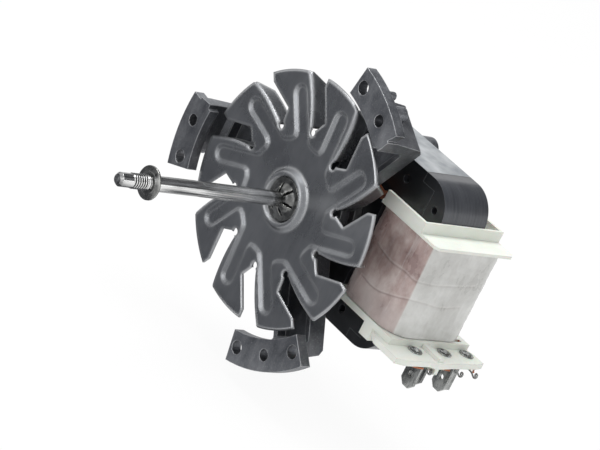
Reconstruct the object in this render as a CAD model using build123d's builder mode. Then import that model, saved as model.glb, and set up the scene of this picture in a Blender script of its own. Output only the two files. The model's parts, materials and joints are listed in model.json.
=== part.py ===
from build123d import *
import math
import os

os.makedirs("parts", exist_ok=True)

# Millimetres. The shaft lies on the Y axis with its threaded tip at -Y, +Z is up
# and +X runs from the rotor to the coil. Y = 0 is the mounting face of the feet.

# Shaft and running fits
shaft_r = 2.5
shaft_tip_y = -66.4
shaft_end_y = 58.6
running_gap = 0.03
seat_gap = 0.01
groove_depth = 0.4

# Cooling fan, pressed from one sheet
fan_y = 2.9
fan_sheet = 0.8
fan_r = 42.0
fan_blades = 10
blade_pitch = 360 / fan_blades
first_slot = -39.0
relief_circle_r = 0.576 * fan_r
relief_r = 1.3
flange_depth = 6.5
bend_chamfer = 0.4
star_depth = 0.8
star_wall = 1.2
disc_r = 0.483 * fan_r
finger_x = 0.224 * fan_r
finger_end_z = 0.79 * fan_r
finger_half_width = 3.1
finger_root_r = 1.5
hub_lip_y = 1.7
hub_foot_r = 10.3
nut_seat_y = 3.2
nut_r = 7.0
nut_sheet = 0.5

# Mounting feet, clear of the fan and on the 100 mm screw circle
foot_inner_r = fan_r + 2.9
foot_outer_r = foot_inner_r + 10.5
foot_hole_circle_r = foot_inner_r + 5.1
pin_circle_r = foot_inner_r + 6.4
foot_thickness = 3.9
foot_hole_r = 2.0
side_hole_r = 2.3
slim_pin_r = 1.4
wide_pin_r = 2.5
pin_length = 10.4
foot_spans = [(11.1, 38.4), (131.4, 168.8), (251.1, 278.4)]
arm_angles = [30, 150, 270]
side_hole_angles = [15, 135, 165, 255]
slim_pin_angles = [18.6, 258.6]
wide_pin_angles = [26.8, 266.8]
quarter_turn = 90

# Bracket arms
arm_half_width = 8.3
arm_wall_inner_r = foot_inner_r + 0.8
arm_wall_outer_r = foot_inner_r + 5.9
arm_wall_draft = 2.0
arm_back_chamfer = 1.7
arm_inner_chamfer = 1.5
arm_start_r = 5.0
arm_rim = 1.8
arm_front_y = 11.3
web_front_y = 15.0
beam_back_y = 18.0
pocket_start_r = 13.0
pocket_end_gap = 2.2
hub_plate_r = 15.5
hub_plate_y = 14.5

# Laminated core
core_front_y = 25.0
core_back_y = 45.0
core_half_height = 31.0
core_right_x = 45.0
core_corner_r = 11.0
core_left_x = -20.0
core_left_half_height = 12.0
core_top_start_x = -7.0
window_left_x = 19.5
window_right_x = 32.0
window_half_height = core_half_height - 13.5
rotor_bore_r = 14.5
joint_x = 30.4
joint_step_z = core_half_height - 3.5
joint_end_x = 36.4
core_left_fillet = 3.0
rivet_hole_x = 23.7
rivet_hole_r = 1.45
leg_hole_x = 40.0
leg_hole_z = core_half_height - 8.5
leg_hole_r = 1.2
leg_gap = 0.02

# Screws that clamp both brackets to the core
screw_z = core_half_height - 6.5
screw_r = 2.0
screw_hole_r = 2.15
screw_boss_r = 4.5
screw_head_r = 3.6
screw_head_height = 2.6
screw_front_y = 15.5
screw_reach = 8.0
screw_slot = 0.9

# Bearings and their housings
ball_r = 6.0
bearing_length = 8.6
front_bearing_y = 15.6
rear_bearing_y = 54.2
housing_r = 10.5
pocket_r = 8.6
front_housing_y = 10.2
rear_housing_y = 60.6
retainer_thickness = 0.5
retainer_offset = 2.4
seat_start = 4.8
seat_start_r = 3.98
seat_end = 2.5
seat_end_r = 5.6
seat_angle = 35.2
crown_angle = 12.0
oil_hole_r = 3.6

# Rotor
rotor_r = 14.2
cage_bars = 17
bar_half_size = 1.1
bar_circle_r = 12.2
bar_skew = 14.0
end_ring_length = 3.0
end_ring_inner_r = 8.4

# Coil former and coil
former_gap = 0.2
former_wall = 1.2
flange_thin = 1.0
flange_z = window_half_height - flange_thin - 0.3
flange_thick = 2.1
former_front_y = 17.1
former_back_y = 52.8
former_right_x = 55.0
lip_height = 4.8
coil_left_x = 23.0
coil_right_x = 54.3
coil_front_y = 17.3
coil_back_y = 51.9
coil_corner_r = 8.5
tape_thickness = 0.5
flange_left_x = 25.5
flange_tip_x = 22.6
flange_corner = 1.5
lip_sheet = 1.2
upper_lip_start_x = 26.0
lower_lip_start_x = 41.5
lip_end_x = 46.2
lower_lip_height = 6.4

# Terminals
terminal_x = 57.7
eyelet_ys = [26.6, 39.9, 50.2]
line_foot_y = 23.2
neutral_foot_y = 36.5
terminal_top_z = -(flange_z + flange_thick)
terminal_plate = 2.0
tab_width = 6.3
tab_sheet = 0.8
tab_hole_r = 0.85
eyelet_r = 1.9
eyelet_bore_r = 1.4
eyelet_flange_r = 2.6
eyelet_lip = 0.4
eyelet_sides = 16
tab_taper = 1.9
tab_nose = 1.3
tab_hole_height = 4.8
tab_fold = 2.6
tab_drop = 12.7
line_tab_x = 58.45
line_tab_y = 29.0
second_tab_x = 55.85
second_tab_y = 34.5
neutral_tab_x = 59.05
neutral_tab_y = 42.5
plate_outline = [
    (51.5, 14.1),
    (62.9, 14.1),
    (64.2, 17.9),
    (63.8, 29.2),
    (65.1, 31.6),
    (63.8, 40.1),
    (63.3, 50.6),
    (62.4, 54.3),
    (57.2, 54.1),
    (52.7, 52.8),
]
lead_slots = [(53.0, 25.4), (52.7, 40.9), (52.7, 47.5)]
lead_slot_length = 6.0
lead_slot_width = 1.3
divider_y = 33.2
round_sides = 24


def front_view(y):
    """Sketch plane at one place along the shaft: local x is +X and local y is +Z."""
    return Plane.XZ.offset(-y)


def around(radius, angle):
    """Front-view point at an angle measured from +Z towards +X."""
    return (radius * math.sin(math.radians(angle)), radius * math.cos(math.radians(angle)))


def arm_plane(angle):
    """Side view of one arm: local x runs outwards and local y is +Y."""
    across = math.radians(angle)
    return Plane(
        origin=(0, 0, 0),
        x_dir=(math.sin(across), 0, math.cos(across)),
        z_dir=(-math.cos(across), 0, math.sin(across)),
    )


def arm_front(angle, y):
    """Front view of one arm: local y runs outwards along the arm."""
    turn = math.radians(angle)
    return Plane(origin=(0, y, 0), x_dir=(math.cos(turn), 0, -math.sin(turn)), z_dir=(0, -1, 0))


def turned(profile, sides):
    """Solid of flat faces around the shaft, from a closed outline of (radius, y)."""
    rows = []
    for i in range(sides):
        turn = i * 2 * math.pi / sides
        rows.append([Vector(r * math.sin(turn), y, r * math.cos(turn)) for r, y in profile])
    faces = []
    for i in range(sides):
        here, beyond = rows[i - 1], rows[i]
        for k in range(len(profile)):
            corners = [here[k - 1], here[k], beyond[k], beyond[k - 1]]
            faces.append(Face(Wire.make_polygon(corners)))
    return Solid(Shell(faces))


# Front bracket: three feet on three arms around a bearing housing, one casting
with BuildPart() as front_bracket:
    for start, end in foot_spans:
        with BuildSketch(front_view(0)):
            with BuildLine():
                outer_edge = CenterArc((0, 0), foot_outer_r, quarter_turn - end, end - start)
                inner_edge = CenterArc((0, 0), foot_inner_r, quarter_turn - end, end - start)
                Line(outer_edge @ 0, inner_edge @ 0)
                Line(outer_edge @ 1, inner_edge @ 1)
            make_face()
        extrude(amount=-foot_thickness)
    # Two pins cast on the back of the upper feet
    with BuildSketch(front_view(foot_thickness - 0.5)):
        with Locations(*[around(pin_circle_r, a) for a in slim_pin_angles]):
            RegularPolygon(slim_pin_r, eyelet_sides)
        with Locations(*[around(pin_circle_r, a) for a in wide_pin_angles]):
            RegularPolygon(wide_pin_r, eyelet_sides)
    extrude(amount=-(pin_length - foot_thickness + 0.5))
    # Each arm: an upright wall behind the foot, then a deep-edged beam to the middle
    for angle in arm_angles:
        with BuildSketch(arm_plane(angle)):
            with BuildLine():
                Polyline(
                    (arm_start_r, arm_front_y),
                    (arm_wall_inner_r - arm_inner_chamfer, arm_front_y),
                    (arm_wall_inner_r, arm_front_y - arm_inner_chamfer),
                    (arm_wall_inner_r, 0),
                    (arm_wall_outer_r, 0),
                    (arm_wall_outer_r, foot_thickness),
                    (arm_wall_outer_r - arm_wall_draft, beam_back_y - arm_back_chamfer),
                    (arm_wall_outer_r - arm_wall_draft - arm_back_chamfer, beam_back_y),
                    (arm_start_r, beam_back_y),
                    close=True,
                )
            make_face()
        extrude(amount=arm_half_width, both=True)
        # A long pocket leaves a rim along each side of the beam
        with BuildSketch(arm_front(angle, arm_front_y)):
            with BuildLine():
                Polyline(
                    (-arm_half_width + arm_rim, pocket_start_r),
                    (arm_half_width - arm_rim, pocket_start_r),
                    (arm_half_width - arm_rim, arm_wall_inner_r - pocket_end_gap),
                    (-arm_half_width + arm_rim, arm_wall_inner_r - pocket_end_gap),
                    close=True,
                )
            make_face()
        extrude(amount=-(web_front_y - arm_front_y), mode=Mode.SUBTRACT)
    # Hub plate, bearing housing and the two screw bosses
    with BuildSketch(front_view(hub_plate_y)):
        Circle(hub_plate_r)
        Rectangle(2 * screw_boss_r, 2 * screw_z)
    extrude(amount=-(beam_back_y - hub_plate_y))
    with BuildSketch(Plane.XY):
        with BuildLine():
            Polyline(
                (oil_hole_r + 0.6, front_housing_y),
                (housing_r - 0.3, front_housing_y),
                (housing_r + 0.8, arm_front_y),
                (housing_r + 0.8, beam_back_y + 1.2),
                (oil_hole_r + 0.6, beam_back_y + 1.2),
                close=True,
            )
        make_face()
    revolve(axis=Axis.Y)
    with BuildSketch(front_view(screw_front_y)):
        with Locations((0, screw_z), (0, -screw_z)):
            RegularPolygon(screw_boss_r, round_sides)
    extrude(amount=-(core_front_y - screw_front_y))
    # Bearing pocket, opened from the rotor side
    with BuildSketch(Plane.XY):
        with BuildLine():
            Polyline(
                (0, front_housing_y - 1),
                (oil_hole_r, front_housing_y - 1),
                (oil_hole_r, front_bearing_y - seat_start),
                (seat_start_r, front_bearing_y - seat_start),
                (seat_end_r, front_bearing_y - seat_end),
                (pocket_r, front_bearing_y - seat_end),
                (pocket_r, 20),
                (0, 20),
                close=True,
            )
        make_face()
    revolve(axis=Axis.Y, mode=Mode.SUBTRACT)
    # Flat seats where the screw heads bear on the beams
    with BuildSketch(front_view(front_housing_y - 1)):
        with Locations((0, screw_z), (0, -screw_z)):
            RegularPolygon(screw_boss_r, round_sides)
    extrude(amount=-(screw_front_y - front_housing_y + 1), mode=Mode.SUBTRACT)
    # Screw holes through feet and bosses
    with BuildSketch(front_view(-1)):
        with Locations(*[around(foot_hole_circle_r, a) for a in arm_angles]):
            Circle(foot_hole_r)
        with Locations(*[around(foot_hole_circle_r, a) for a in side_hole_angles]):
            RegularPolygon(side_hole_r, eyelet_sides)
    extrude(amount=-(foot_thickness + 2), mode=Mode.SUBTRACT)
    with BuildSketch(front_view(0)):
        with Locations((0, screw_z), (0, -screw_z)):
            RegularPolygon(screw_hole_r, eyelet_sides, major_radius=False)
    extrude(amount=-(core_front_y + 2), mode=Mode.SUBTRACT)

# Rear bracket: a bridge over the core back with a closed bearing housing
rear_bridge_y = core_back_y + 6.0
with BuildPart() as rear_bracket:
    with BuildSketch(front_view(core_back_y)):
        with Locations((0, screw_z), (0, -screw_z)):
            RegularPolygon(screw_boss_r, round_sides)
    extrude(amount=-10)
    with BuildSketch(front_view(rear_bridge_y)):
        Rectangle(2 * screw_boss_r, 2 * screw_z)
        Circle(housing_r + 1.5)
    extrude(amount=-3.2)
    # Two stiffening ribs along the bridge
    with BuildSketch(front_view(rear_bridge_y)):
        with Locations((screw_boss_r - 0.75, 0), (-screw_boss_r + 0.75, 0)):
            Rectangle(1.5, 2 * screw_z)
    extrude(amount=-5.2)
    with BuildSketch(Plane.XY):
        with BuildLine():
            Polyline(
                (0, rear_bearing_y - 3.6),
                (housing_r + 0.8, rear_bearing_y - 3.6),
                (housing_r + 0.8, rear_bridge_y + 5.6),
                (housing_r - 1.5, rear_housing_y),
                (0, rear_housing_y),
                close=True,
            )
        make_face()
    revolve(axis=Axis.Y)
    with BuildSketch(Plane.XY):
        with BuildLine():
            Polyline(
                (0, rear_bearing_y - 4.6),
                (pocket_r, rear_bearing_y - 4.6),
                (pocket_r, rear_bearing_y + seat_end),
                (seat_end_r, rear_bearing_y + seat_end),
                (seat_start_r, rear_bearing_y + seat_start),
                (oil_hole_r, rear_bearing_y + seat_start),
                (oil_hole_r, rear_housing_y - 1.2),
                (0, rear_housing_y - 1.2),
                close=True,
            )
        make_face()
    revolve(axis=Axis.Y, mode=Mode.SUBTRACT)
    with BuildSketch(front_view(core_back_y)):
        with Locations((0, screw_z), (0, -screw_z)):
            RegularPolygon(screw_r + seat_gap, eyelet_sides)
    extrude(amount=-(screw_reach + 0.5), mode=Mode.SUBTRACT)

# Pole piece of the core: two poles around the rotor joined by thin bridges
with BuildPart() as stator_core:
    with BuildSketch(front_view(core_front_y)) as pole_outline:
        with BuildLine():
            Polyline(
                (core_left_x, core_left_half_height),
                (core_top_start_x, core_half_height),
                (joint_x, core_half_height),
                (joint_x, joint_step_z),
                (joint_end_x, joint_step_z),
                (joint_end_x, window_half_height),
                (window_left_x, window_half_height),
                (window_left_x, -window_half_height),
                (joint_end_x, -window_half_height),
                (joint_end_x, -joint_step_z),
                (joint_x, -joint_step_z),
                (joint_x, -core_half_height),
                (core_top_start_x, -core_half_height),
                (core_left_x, -core_left_half_height),
                close=True,
            )
        make_face()
        blunt_corners = [
            v for v in pole_outline.vertices() if v.X < core_top_start_x + 0.1
        ]
        fillet(blunt_corners, radius=core_left_fillet)
        Circle(rotor_bore_r, mode=Mode.SUBTRACT)
        with Locations((0, screw_z), (0, -screw_z)):
            RegularPolygon(screw_hole_r, eyelet_sides, major_radius=False, mode=Mode.SUBTRACT)
        with Locations((rivet_hole_x, screw_z), (rivet_hole_x, -screw_z)):
            RegularPolygon(rivet_hole_r, eyelet_sides, mode=Mode.SUBTRACT)
    extrude(amount=-(core_back_y - core_front_y))

# Coil leg: closes the core on the right and hooks over the pole piece
with BuildPart() as coil_leg:
    with BuildSketch(front_view(core_front_y)) as leg_outline:
        with BuildLine():
            Polyline(
                (joint_x + leg_gap, core_half_height),
                (core_right_x, core_half_height),
                (core_right_x, -core_half_height),
                (joint_x + leg_gap, -core_half_height),
                (joint_x + leg_gap, -joint_step_z - leg_gap),
                (joint_end_x + leg_gap, -joint_step_z - leg_gap),
                (joint_end_x + leg_gap, -window_half_height),
                (window_right_x, -window_half_height + leg_gap),
                (window_right_x, window_half_height - leg_gap),
                (joint_end_x + leg_gap, window_half_height),
                (joint_end_x + leg_gap, joint_step_z + leg_gap),
                (joint_x + leg_gap, joint_step_z + leg_gap),
                close=True,
            )
        make_face()
        outer_corners = [v for v in leg_outline.vertices() if v.X > core_right_x - 0.1]
        fillet(outer_corners, radius=core_corner_r)
        with Locations((leg_hole_x, leg_hole_z), (leg_hole_x, -leg_hole_z)):
            RegularPolygon(leg_hole_r, eyelet_sides, mode=Mode.SUBTRACT)
    extrude(amount=-(core_back_y - core_front_y))

# Shading rings: one copper loop on each pole, set in punched slots
ring_bar = 2.0
ring_slot_gap = 0.06
ring_centre = (15.2, 17.4)
ring_angle = -13.0
ring_span = 10.6
ring_reach = 2.2
shade_turn = math.radians(ring_angle)


def ring_plane(side):
    """Plane through both legs of one shading ring, at its middle along the shaft."""
    return Plane(
        origin=(side * ring_centre[0], (core_front_y + core_back_y) / 2, side * ring_centre[1]),
        x_dir=(math.cos(shade_turn), 0, math.sin(shade_turn)),
        z_dir=(-math.sin(shade_turn), 0, math.cos(shade_turn)),
    )


core_length = core_back_y - core_front_y
with BuildPart() as shading_rings:
    for side in (1, -1):
        with BuildSketch(ring_plane(side)):
            Rectangle(ring_span + ring_bar, core_length + 2 * (ring_reach + ring_bar))
            Rectangle(ring_span - ring_bar, core_length + 2 * ring_reach, mode=Mode.SUBTRACT)
        extrude(amount=ring_bar / 2, both=True)

with BuildPart() as ring_slots:
    for side in (1, -1):
        with BuildSketch(ring_plane(side)):
            with Locations((-ring_span / 2, 0), (ring_span / 2, 0)):
                Rectangle(ring_bar + 2 * ring_slot_gap, core_length + 4)
        extrude(amount=ring_bar / 2 + ring_slot_gap, both=True)

slotted_core = stator_core.part - ring_slots.part

# Coil former: a tube over the coil leg with a flange and an upright lip at each end
tube_left = window_right_x - former_gap - former_wall
tube_right = core_right_x + former_gap + former_wall
tube_front = core_front_y - former_gap - former_wall
tube_back = core_back_y + former_gap + former_wall
tube_mid_x = (tube_left + tube_right) / 2
tube_mid_y = (tube_front + tube_back) / 2
lip_x = core_right_x + former_gap
with BuildPart() as bobbin:
    with BuildSketch(Plane.XY.offset(-flange_z - flange_thin)):
        with Locations((tube_mid_x, tube_mid_y)):
            Rectangle(tube_right - tube_left, tube_back - tube_front)
    extrude(amount=2 * (flange_z + flange_thin))
    # Thin flanges pass between the core arms and the coil
    for base in (flange_z, -flange_z - flange_thin):
        with BuildSketch(Plane.XY.offset(base)):
            with BuildLine():
                Polyline(
                    (flange_left_x, former_front_y),
                    (former_right_x - flange_corner, former_front_y),
                    (former_right_x, former_front_y + flange_corner),
                    (former_right_x, former_back_y - flange_corner),
                    (former_right_x - flange_corner, former_back_y),
                    (flange_left_x, former_back_y),
                    (flange_tip_x, former_back_y - lip_height),
                    (flange_tip_x, former_front_y + lip_height),
                    close=True,
                )
            make_face()
        extrude(amount=flange_thin)
    # Upper lip stands in front of, beside and behind the core
    upper_top = flange_z + lip_height
    with BuildSketch(Plane.XY.offset(flange_z)):
        upper_lip_x = (upper_lip_start_x + lip_end_x) / 2
        with Locations(
            (upper_lip_x, former_front_y + lip_sheet / 2), (upper_lip_x, former_back_y - lip_sheet / 2)
        ):
            Rectangle(lip_end_x - upper_lip_start_x, lip_sheet)
        with Locations(((lip_x + lip_end_x) / 2, (former_front_y + former_back_y) / 2)):
            Rectangle(lip_end_x - lip_x, former_back_y - former_front_y)
    extrude(amount=lip_height)
    # Lower lip is short at the front and full along the side
    with BuildSketch(Plane.XY.offset(-flange_z - lower_lip_height)):
        lower_lip_x = (lower_lip_start_x + lip_end_x) / 2
        with Locations(
            (lower_lip_x, former_front_y + lip_sheet / 2), (lower_lip_x, former_back_y - lip_sheet / 2)
        ):
            Rectangle(lip_end_x - lower_lip_start_x, lip_sheet)
        with Locations(((lip_x + lip_end_x) / 2, (former_front_y + former_back_y) / 2)):
            Rectangle(lip_end_x - lip_x, former_back_y - former_front_y)
    extrude(amount=lower_lip_height)
    # Lower flange grows thicker outside the core and carries the terminal plate
    with BuildSketch(Plane.XY.offset(terminal_top_z)):
        with BuildLine():
            Polyline(
                (upper_lip_start_x, former_front_y),
                (former_right_x, former_front_y),
                (former_right_x, former_back_y),
                (lip_x, former_back_y),
                (lip_x, core_front_y - 0.5),
                (upper_lip_start_x, core_front_y - 0.5),
                close=True,
            )
        make_face()
    extrude(amount=flange_thick)
    with BuildSketch(Plane.XY.offset(terminal_top_z - terminal_plate)):
        with BuildLine():
            Polyline(
                (lip_x, former_front_y + 1),
                *plate_outline,
                (lip_x, former_back_y),
                close=True,
            )
        make_face()
    extrude(amount=terminal_plate)
    # Raised wall between the first and the second terminal
    with BuildSketch(Plane.XY.offset(terminal_top_z - 4.6)):
        with Locations((61.2, divider_y)):
            Rectangle(5.4, 1.6)
    extrude(amount=3.0)
    with BuildSketch(Plane.XY.offset(terminal_top_z - 0.5)):
        with Locations((59.0, divider_y)):
            Rectangle(9.8, 2.6)
    extrude(amount=1.7)
    # Opening for the coil leg
    with BuildSketch(Plane.XY.offset(-flange_z - 3)):
        with Locations((tube_mid_x, tube_mid_y)):
            Rectangle(
                tube_right - tube_left - 2 * former_wall, tube_back - tube_front - 2 * former_wall
            )
    extrude(amount=2 * (flange_z + 3), mode=Mode.SUBTRACT)
    # Holes for the eyelets and slots for the coil ends
    with BuildSketch(Plane.XY.offset(terminal_top_z - terminal_plate - 1)):
        with Locations(*[(terminal_x, y) for y in eyelet_ys]):
            RegularPolygon(eyelet_r + seat_gap, eyelet_sides)
        with Locations(*lead_slots):
            Rectangle(lead_slot_width, lead_slot_length)
    extrude(amount=terminal_plate + flange_thick + 3, mode=Mode.SUBTRACT)

# Winding and the tape wound over it
tube_cover_gap = 0.1
coil_top = flange_z - 0.1
with BuildPart() as winding:
    with BuildSketch(Plane.XY.offset(-coil_top)):
        with Locations(((coil_left_x + coil_right_x) / 2, (coil_front_y + coil_back_y) / 2)):
            RectangleRounded(
                coil_right_x - coil_left_x - 2 * tape_thickness,
                coil_back_y - coil_front_y - 2 * tape_thickness,
                coil_corner_r - tape_thickness,
            )
        with Locations((tube_mid_x, tube_mid_y)):
            Rectangle(
                tube_right - tube_left + 2 * tube_cover_gap,
                tube_back - tube_front + 2 * tube_cover_gap,
                mode=Mode.SUBTRACT,
            )
    extrude(amount=2 * coil_top)

with BuildPart() as coil_tape:
    with BuildSketch(Plane.XY.offset(-coil_top + 0.1)):
        with Locations(((coil_left_x + coil_right_x) / 2, (coil_front_y + coil_back_y) / 2)):
            RectangleRounded(
                coil_right_x - coil_left_x, coil_back_y - coil_front_y, coil_corner_r
            )
            RectangleRounded(
                coil_right_x - coil_left_x - 2 * tape_thickness + 2 * seat_gap,
                coil_back_y - coil_front_y - 2 * tape_thickness + 2 * seat_gap,
                coil_corner_r - tape_thickness + seat_gap,
                mode=Mode.SUBTRACT,
            )
    extrude(amount=2 * coil_top - 0.2)

# Terminals: flat 6.3 mm tabs hanging below the terminal plate
foot_top_z = terminal_top_z - terminal_plate - 0.02
tab_tip_z = terminal_top_z - tab_drop
tab_length = foot_top_z - tab_tip_z


def tab_profile(centre_x, tip_z):
    """Outline of one flat tab with a tapered tip, in the front view."""
    half = tab_width / 2
    return [
        (centre_x - half, foot_top_z),
        (centre_x + half, foot_top_z),
        (centre_x + half, tip_z + tab_taper),
        (centre_x + tab_nose, tip_z),
        (centre_x - tab_nose, tip_z),
        (centre_x - half, tip_z + tab_taper),
    ]


with BuildPart() as terminal_line:
    with BuildSketch(Plane.XY.offset(foot_top_z - tab_sheet)):
        with Locations((terminal_x + 0.3, (line_tab_y + tab_sheet + line_foot_y) / 2)):
            Rectangle(tab_width + 0.9, line_tab_y + tab_sheet - line_foot_y)
        with Locations((second_tab_x - 0.65, (line_tab_y + second_tab_y + tab_sheet) / 2 + 0.2)):
            Rectangle(tab_width - 1.3, second_tab_y + tab_sheet - line_tab_y - 0.4)
        with Locations((terminal_x, eyelet_ys[0])):
            RegularPolygon(eyelet_r + seat_gap, eyelet_sides, mode=Mode.SUBTRACT)
    extrude(amount=tab_sheet)
    with BuildSketch(front_view(line_tab_y)):
        with BuildLine():
            Polyline(*tab_profile(line_tab_x, tab_tip_z), close=True)
        make_face()
        with Locations((line_tab_x, tab_tip_z + tab_hole_height)):
            RegularPolygon(tab_hole_r, eyelet_sides, mode=Mode.SUBTRACT)
    extrude(amount=-tab_sheet)
    with BuildSketch(front_view(second_tab_y)):
        with BuildLine():
            Polyline(*tab_profile(second_tab_x, tab_tip_z), close=True)
        make_face()
        with Locations((second_tab_x, tab_tip_z + tab_hole_height)):
            RegularPolygon(tab_hole_r, eyelet_sides, mode=Mode.SUBTRACT)
    extrude(amount=-tab_sheet)

with BuildPart() as terminal_neutral:
    with BuildSketch(Plane.XY.offset(foot_top_z - tab_sheet)):
        with Locations((terminal_x + 0.9, (neutral_tab_y + tab_sheet + neutral_foot_y) / 2)):
            Rectangle(tab_width + 0.9, neutral_tab_y + tab_sheet - neutral_foot_y)
        with Locations((terminal_x, eyelet_ys[1])):
            RegularPolygon(eyelet_r + seat_gap, eyelet_sides, mode=Mode.SUBTRACT)
    extrude(amount=tab_sheet)
    with BuildSketch(front_view(neutral_tab_y)):
        with BuildLine():
            Polyline(*tab_profile(neutral_tab_x, tab_tip_z), close=True)
        make_face()
        with Locations((neutral_tab_x, tab_tip_z + tab_hole_height)):
            RegularPolygon(tab_hole_r, eyelet_sides, mode=Mode.SUBTRACT)
    extrude(amount=-tab_sheet)
    # Stiffening fold along the outer edge of the tab
    with BuildSketch(front_view(neutral_tab_y)):
        with Locations(
            (neutral_tab_x + (tab_width - tab_sheet) / 2, (foot_top_z + tab_tip_z + tab_taper) / 2)
        ):
            Rectangle(tab_sheet, tab_length - tab_taper)
    extrude(amount=-tab_fold)

with BuildPart() as terminal_link:
    with BuildSketch(Plane.XY.offset(foot_top_z - tab_sheet)):
        with Locations((terminal_x, 50.4)):
            Rectangle(6.4, 6.0)
        with Locations((terminal_x, eyelet_ys[2])):
            RegularPolygon(eyelet_r + seat_gap, eyelet_sides, mode=Mode.SUBTRACT)
    extrude(amount=tab_sheet)

# Hollow rivets that hold the terminals, lip above the plate and flare below
with BuildPart() as terminal_eyelets:
    eyelet_places = [(terminal_x, y) for y in eyelet_ys]
    flare_top_z = foot_top_z - tab_sheet - seat_gap
    with BuildSketch(Plane.XY.offset(terminal_top_z + seat_gap)):
        with Locations(*eyelet_places):
            RegularPolygon(eyelet_flange_r, eyelet_sides)
    extrude(amount=eyelet_lip)
    with BuildSketch(Plane.XY.offset(flare_top_z - eyelet_lip)):
        with Locations(*eyelet_places):
            RegularPolygon(eyelet_flange_r - 0.2, eyelet_sides)
    extrude(amount=eyelet_lip)
    with BuildSketch(Plane.XY.offset(flare_top_z - 0.1)):
        with Locations(*eyelet_places):
            RegularPolygon(eyelet_r, eyelet_sides)
    extrude(amount=terminal_top_z - flare_top_z + 0.2)
    with BuildSketch(Plane.XY.offset(flare_top_z - 1)):
        with Locations(*eyelet_places):
            RegularPolygon(eyelet_bore_r, eyelet_sides)
    extrude(amount=terminal_top_z - flare_top_z + 2, mode=Mode.SUBTRACT)

# Coil ends: drop through the slots and lie under the plate up to each terminal
lead_r = 0.35
lead_low_z = foot_top_z - tab_sheet - lead_r - 0.02
lead_starts = [(53.0, 24.4), (52.7, 38.8), (52.7, 49.6)]
lead_bends = [(55.2, 23.6), (54.9, 36.9), (54.9, 53.0)]
lead_end_x = 61.2
with BuildPart() as winding_leads:
    for (start_x, start_y), (bend_x, bend_y) in zip(lead_starts, lead_bends):
        lead_corners = [
            Vector(start_x, start_y, -coil_top - 0.05),
            Vector(start_x, start_y, lead_low_z),
            Vector(bend_x, bend_y, lead_low_z),
            Vector(lead_end_x, bend_y, lead_low_z),
        ]
        with BuildLine() as lead_path:
            Polyline(*lead_corners)
        with BuildSketch(Plane(origin=lead_corners[0], z_dir=(0, 0, -1))):
            RegularPolygon(lead_r, 6)
        sweep(path=lead_path.line, transition=Transition.RIGHT)

# Shaft: straight ground rod with a clip groove and a plain end where the thread starts
washer_front_y = -54.1
washer_thickness = 0.8
washer_r = 5.45
clip_r = 4.6
tip_chamfer = 0.8
relief_gap = 0.15
relief_width = 0.6
relief_depth = 0.25
clip_y = washer_front_y + washer_thickness + 0.02
clip_thickness = 0.6
with BuildPart() as shaft:
    with BuildSketch(Plane.XY):
        with BuildLine():
            Polyline(
                (0, shaft_tip_y),
                (shaft_r - tip_chamfer, shaft_tip_y),
                (shaft_r, shaft_tip_y + tip_chamfer + 0.3),
                (shaft_r, washer_front_y - relief_gap - relief_width),
                (shaft_r - relief_depth, washer_front_y - relief_gap - relief_width),
                (shaft_r - relief_depth, washer_front_y - relief_gap),
                (shaft_r, washer_front_y - relief_gap),
                (shaft_r, clip_y - 0.02),
                (shaft_r - groove_depth, clip_y - 0.02),
                (shaft_r - groove_depth, clip_y + clip_thickness + 0.02),
                (shaft_r, clip_y + clip_thickness + 0.02),
                (shaft_r, shaft_end_y - 0.6),
                (shaft_r - 0.6, shaft_end_y),
                (0, shaft_end_y),
                close=True,
            )
        make_face()
    revolve(axis=Axis.Y)

with BuildPart() as stop_washer:
    with BuildSketch(front_view(washer_front_y)):
        Circle(washer_r)
        Circle(shaft_r + 0.05, mode=Mode.SUBTRACT)
    extrude(amount=-washer_thickness)
    rim_edges = stop_washer.edges().filter_by(GeomType.CIRCLE).sort_by(SortBy.LENGTH)[-2:]
    chamfer(rim_edges.sort_by(Axis.Y)[0], 0.2)

# Open snap ring that sits in the shaft groove behind the washer
with BuildPart() as retaining_ring:
    with BuildSketch(front_view(clip_y)):
        Circle(clip_r)
        Circle(shaft_r - groove_depth + 0.02, mode=Mode.SUBTRACT)
        with Locations((0, -clip_r)):
            Rectangle(3.4, clip_r + 2, mode=Mode.SUBTRACT)
        for side in (1, -1):
            with Locations((side * 3.1, 0.6)):
                RegularPolygon(0.75, 8, mode=Mode.SUBTRACT)
    extrude(amount=-clip_thickness)

# Cooling fan: sheet disc with lanced blades, a pressed star and a raised hub lip
crease_start = (-0.0286 * fan_r, 0.6024 * fan_r)
crease_middle = (-0.1357 * fan_r, 0.7905 * fan_r)
crease_end = (-0.2738 * fan_r, 0.9583 * fan_r)
crease_run = math.dist(crease_start, crease_end)
crease_x = (crease_end[0] - crease_start[0]) / crease_run
crease_z = (crease_end[1] - crease_start[1]) / crease_run


def inside_crease(point, depth):
    """Point moved from the crease line into the blade sheet."""
    return (point[0] - depth * crease_z, point[1] + depth * crease_x)


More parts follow.
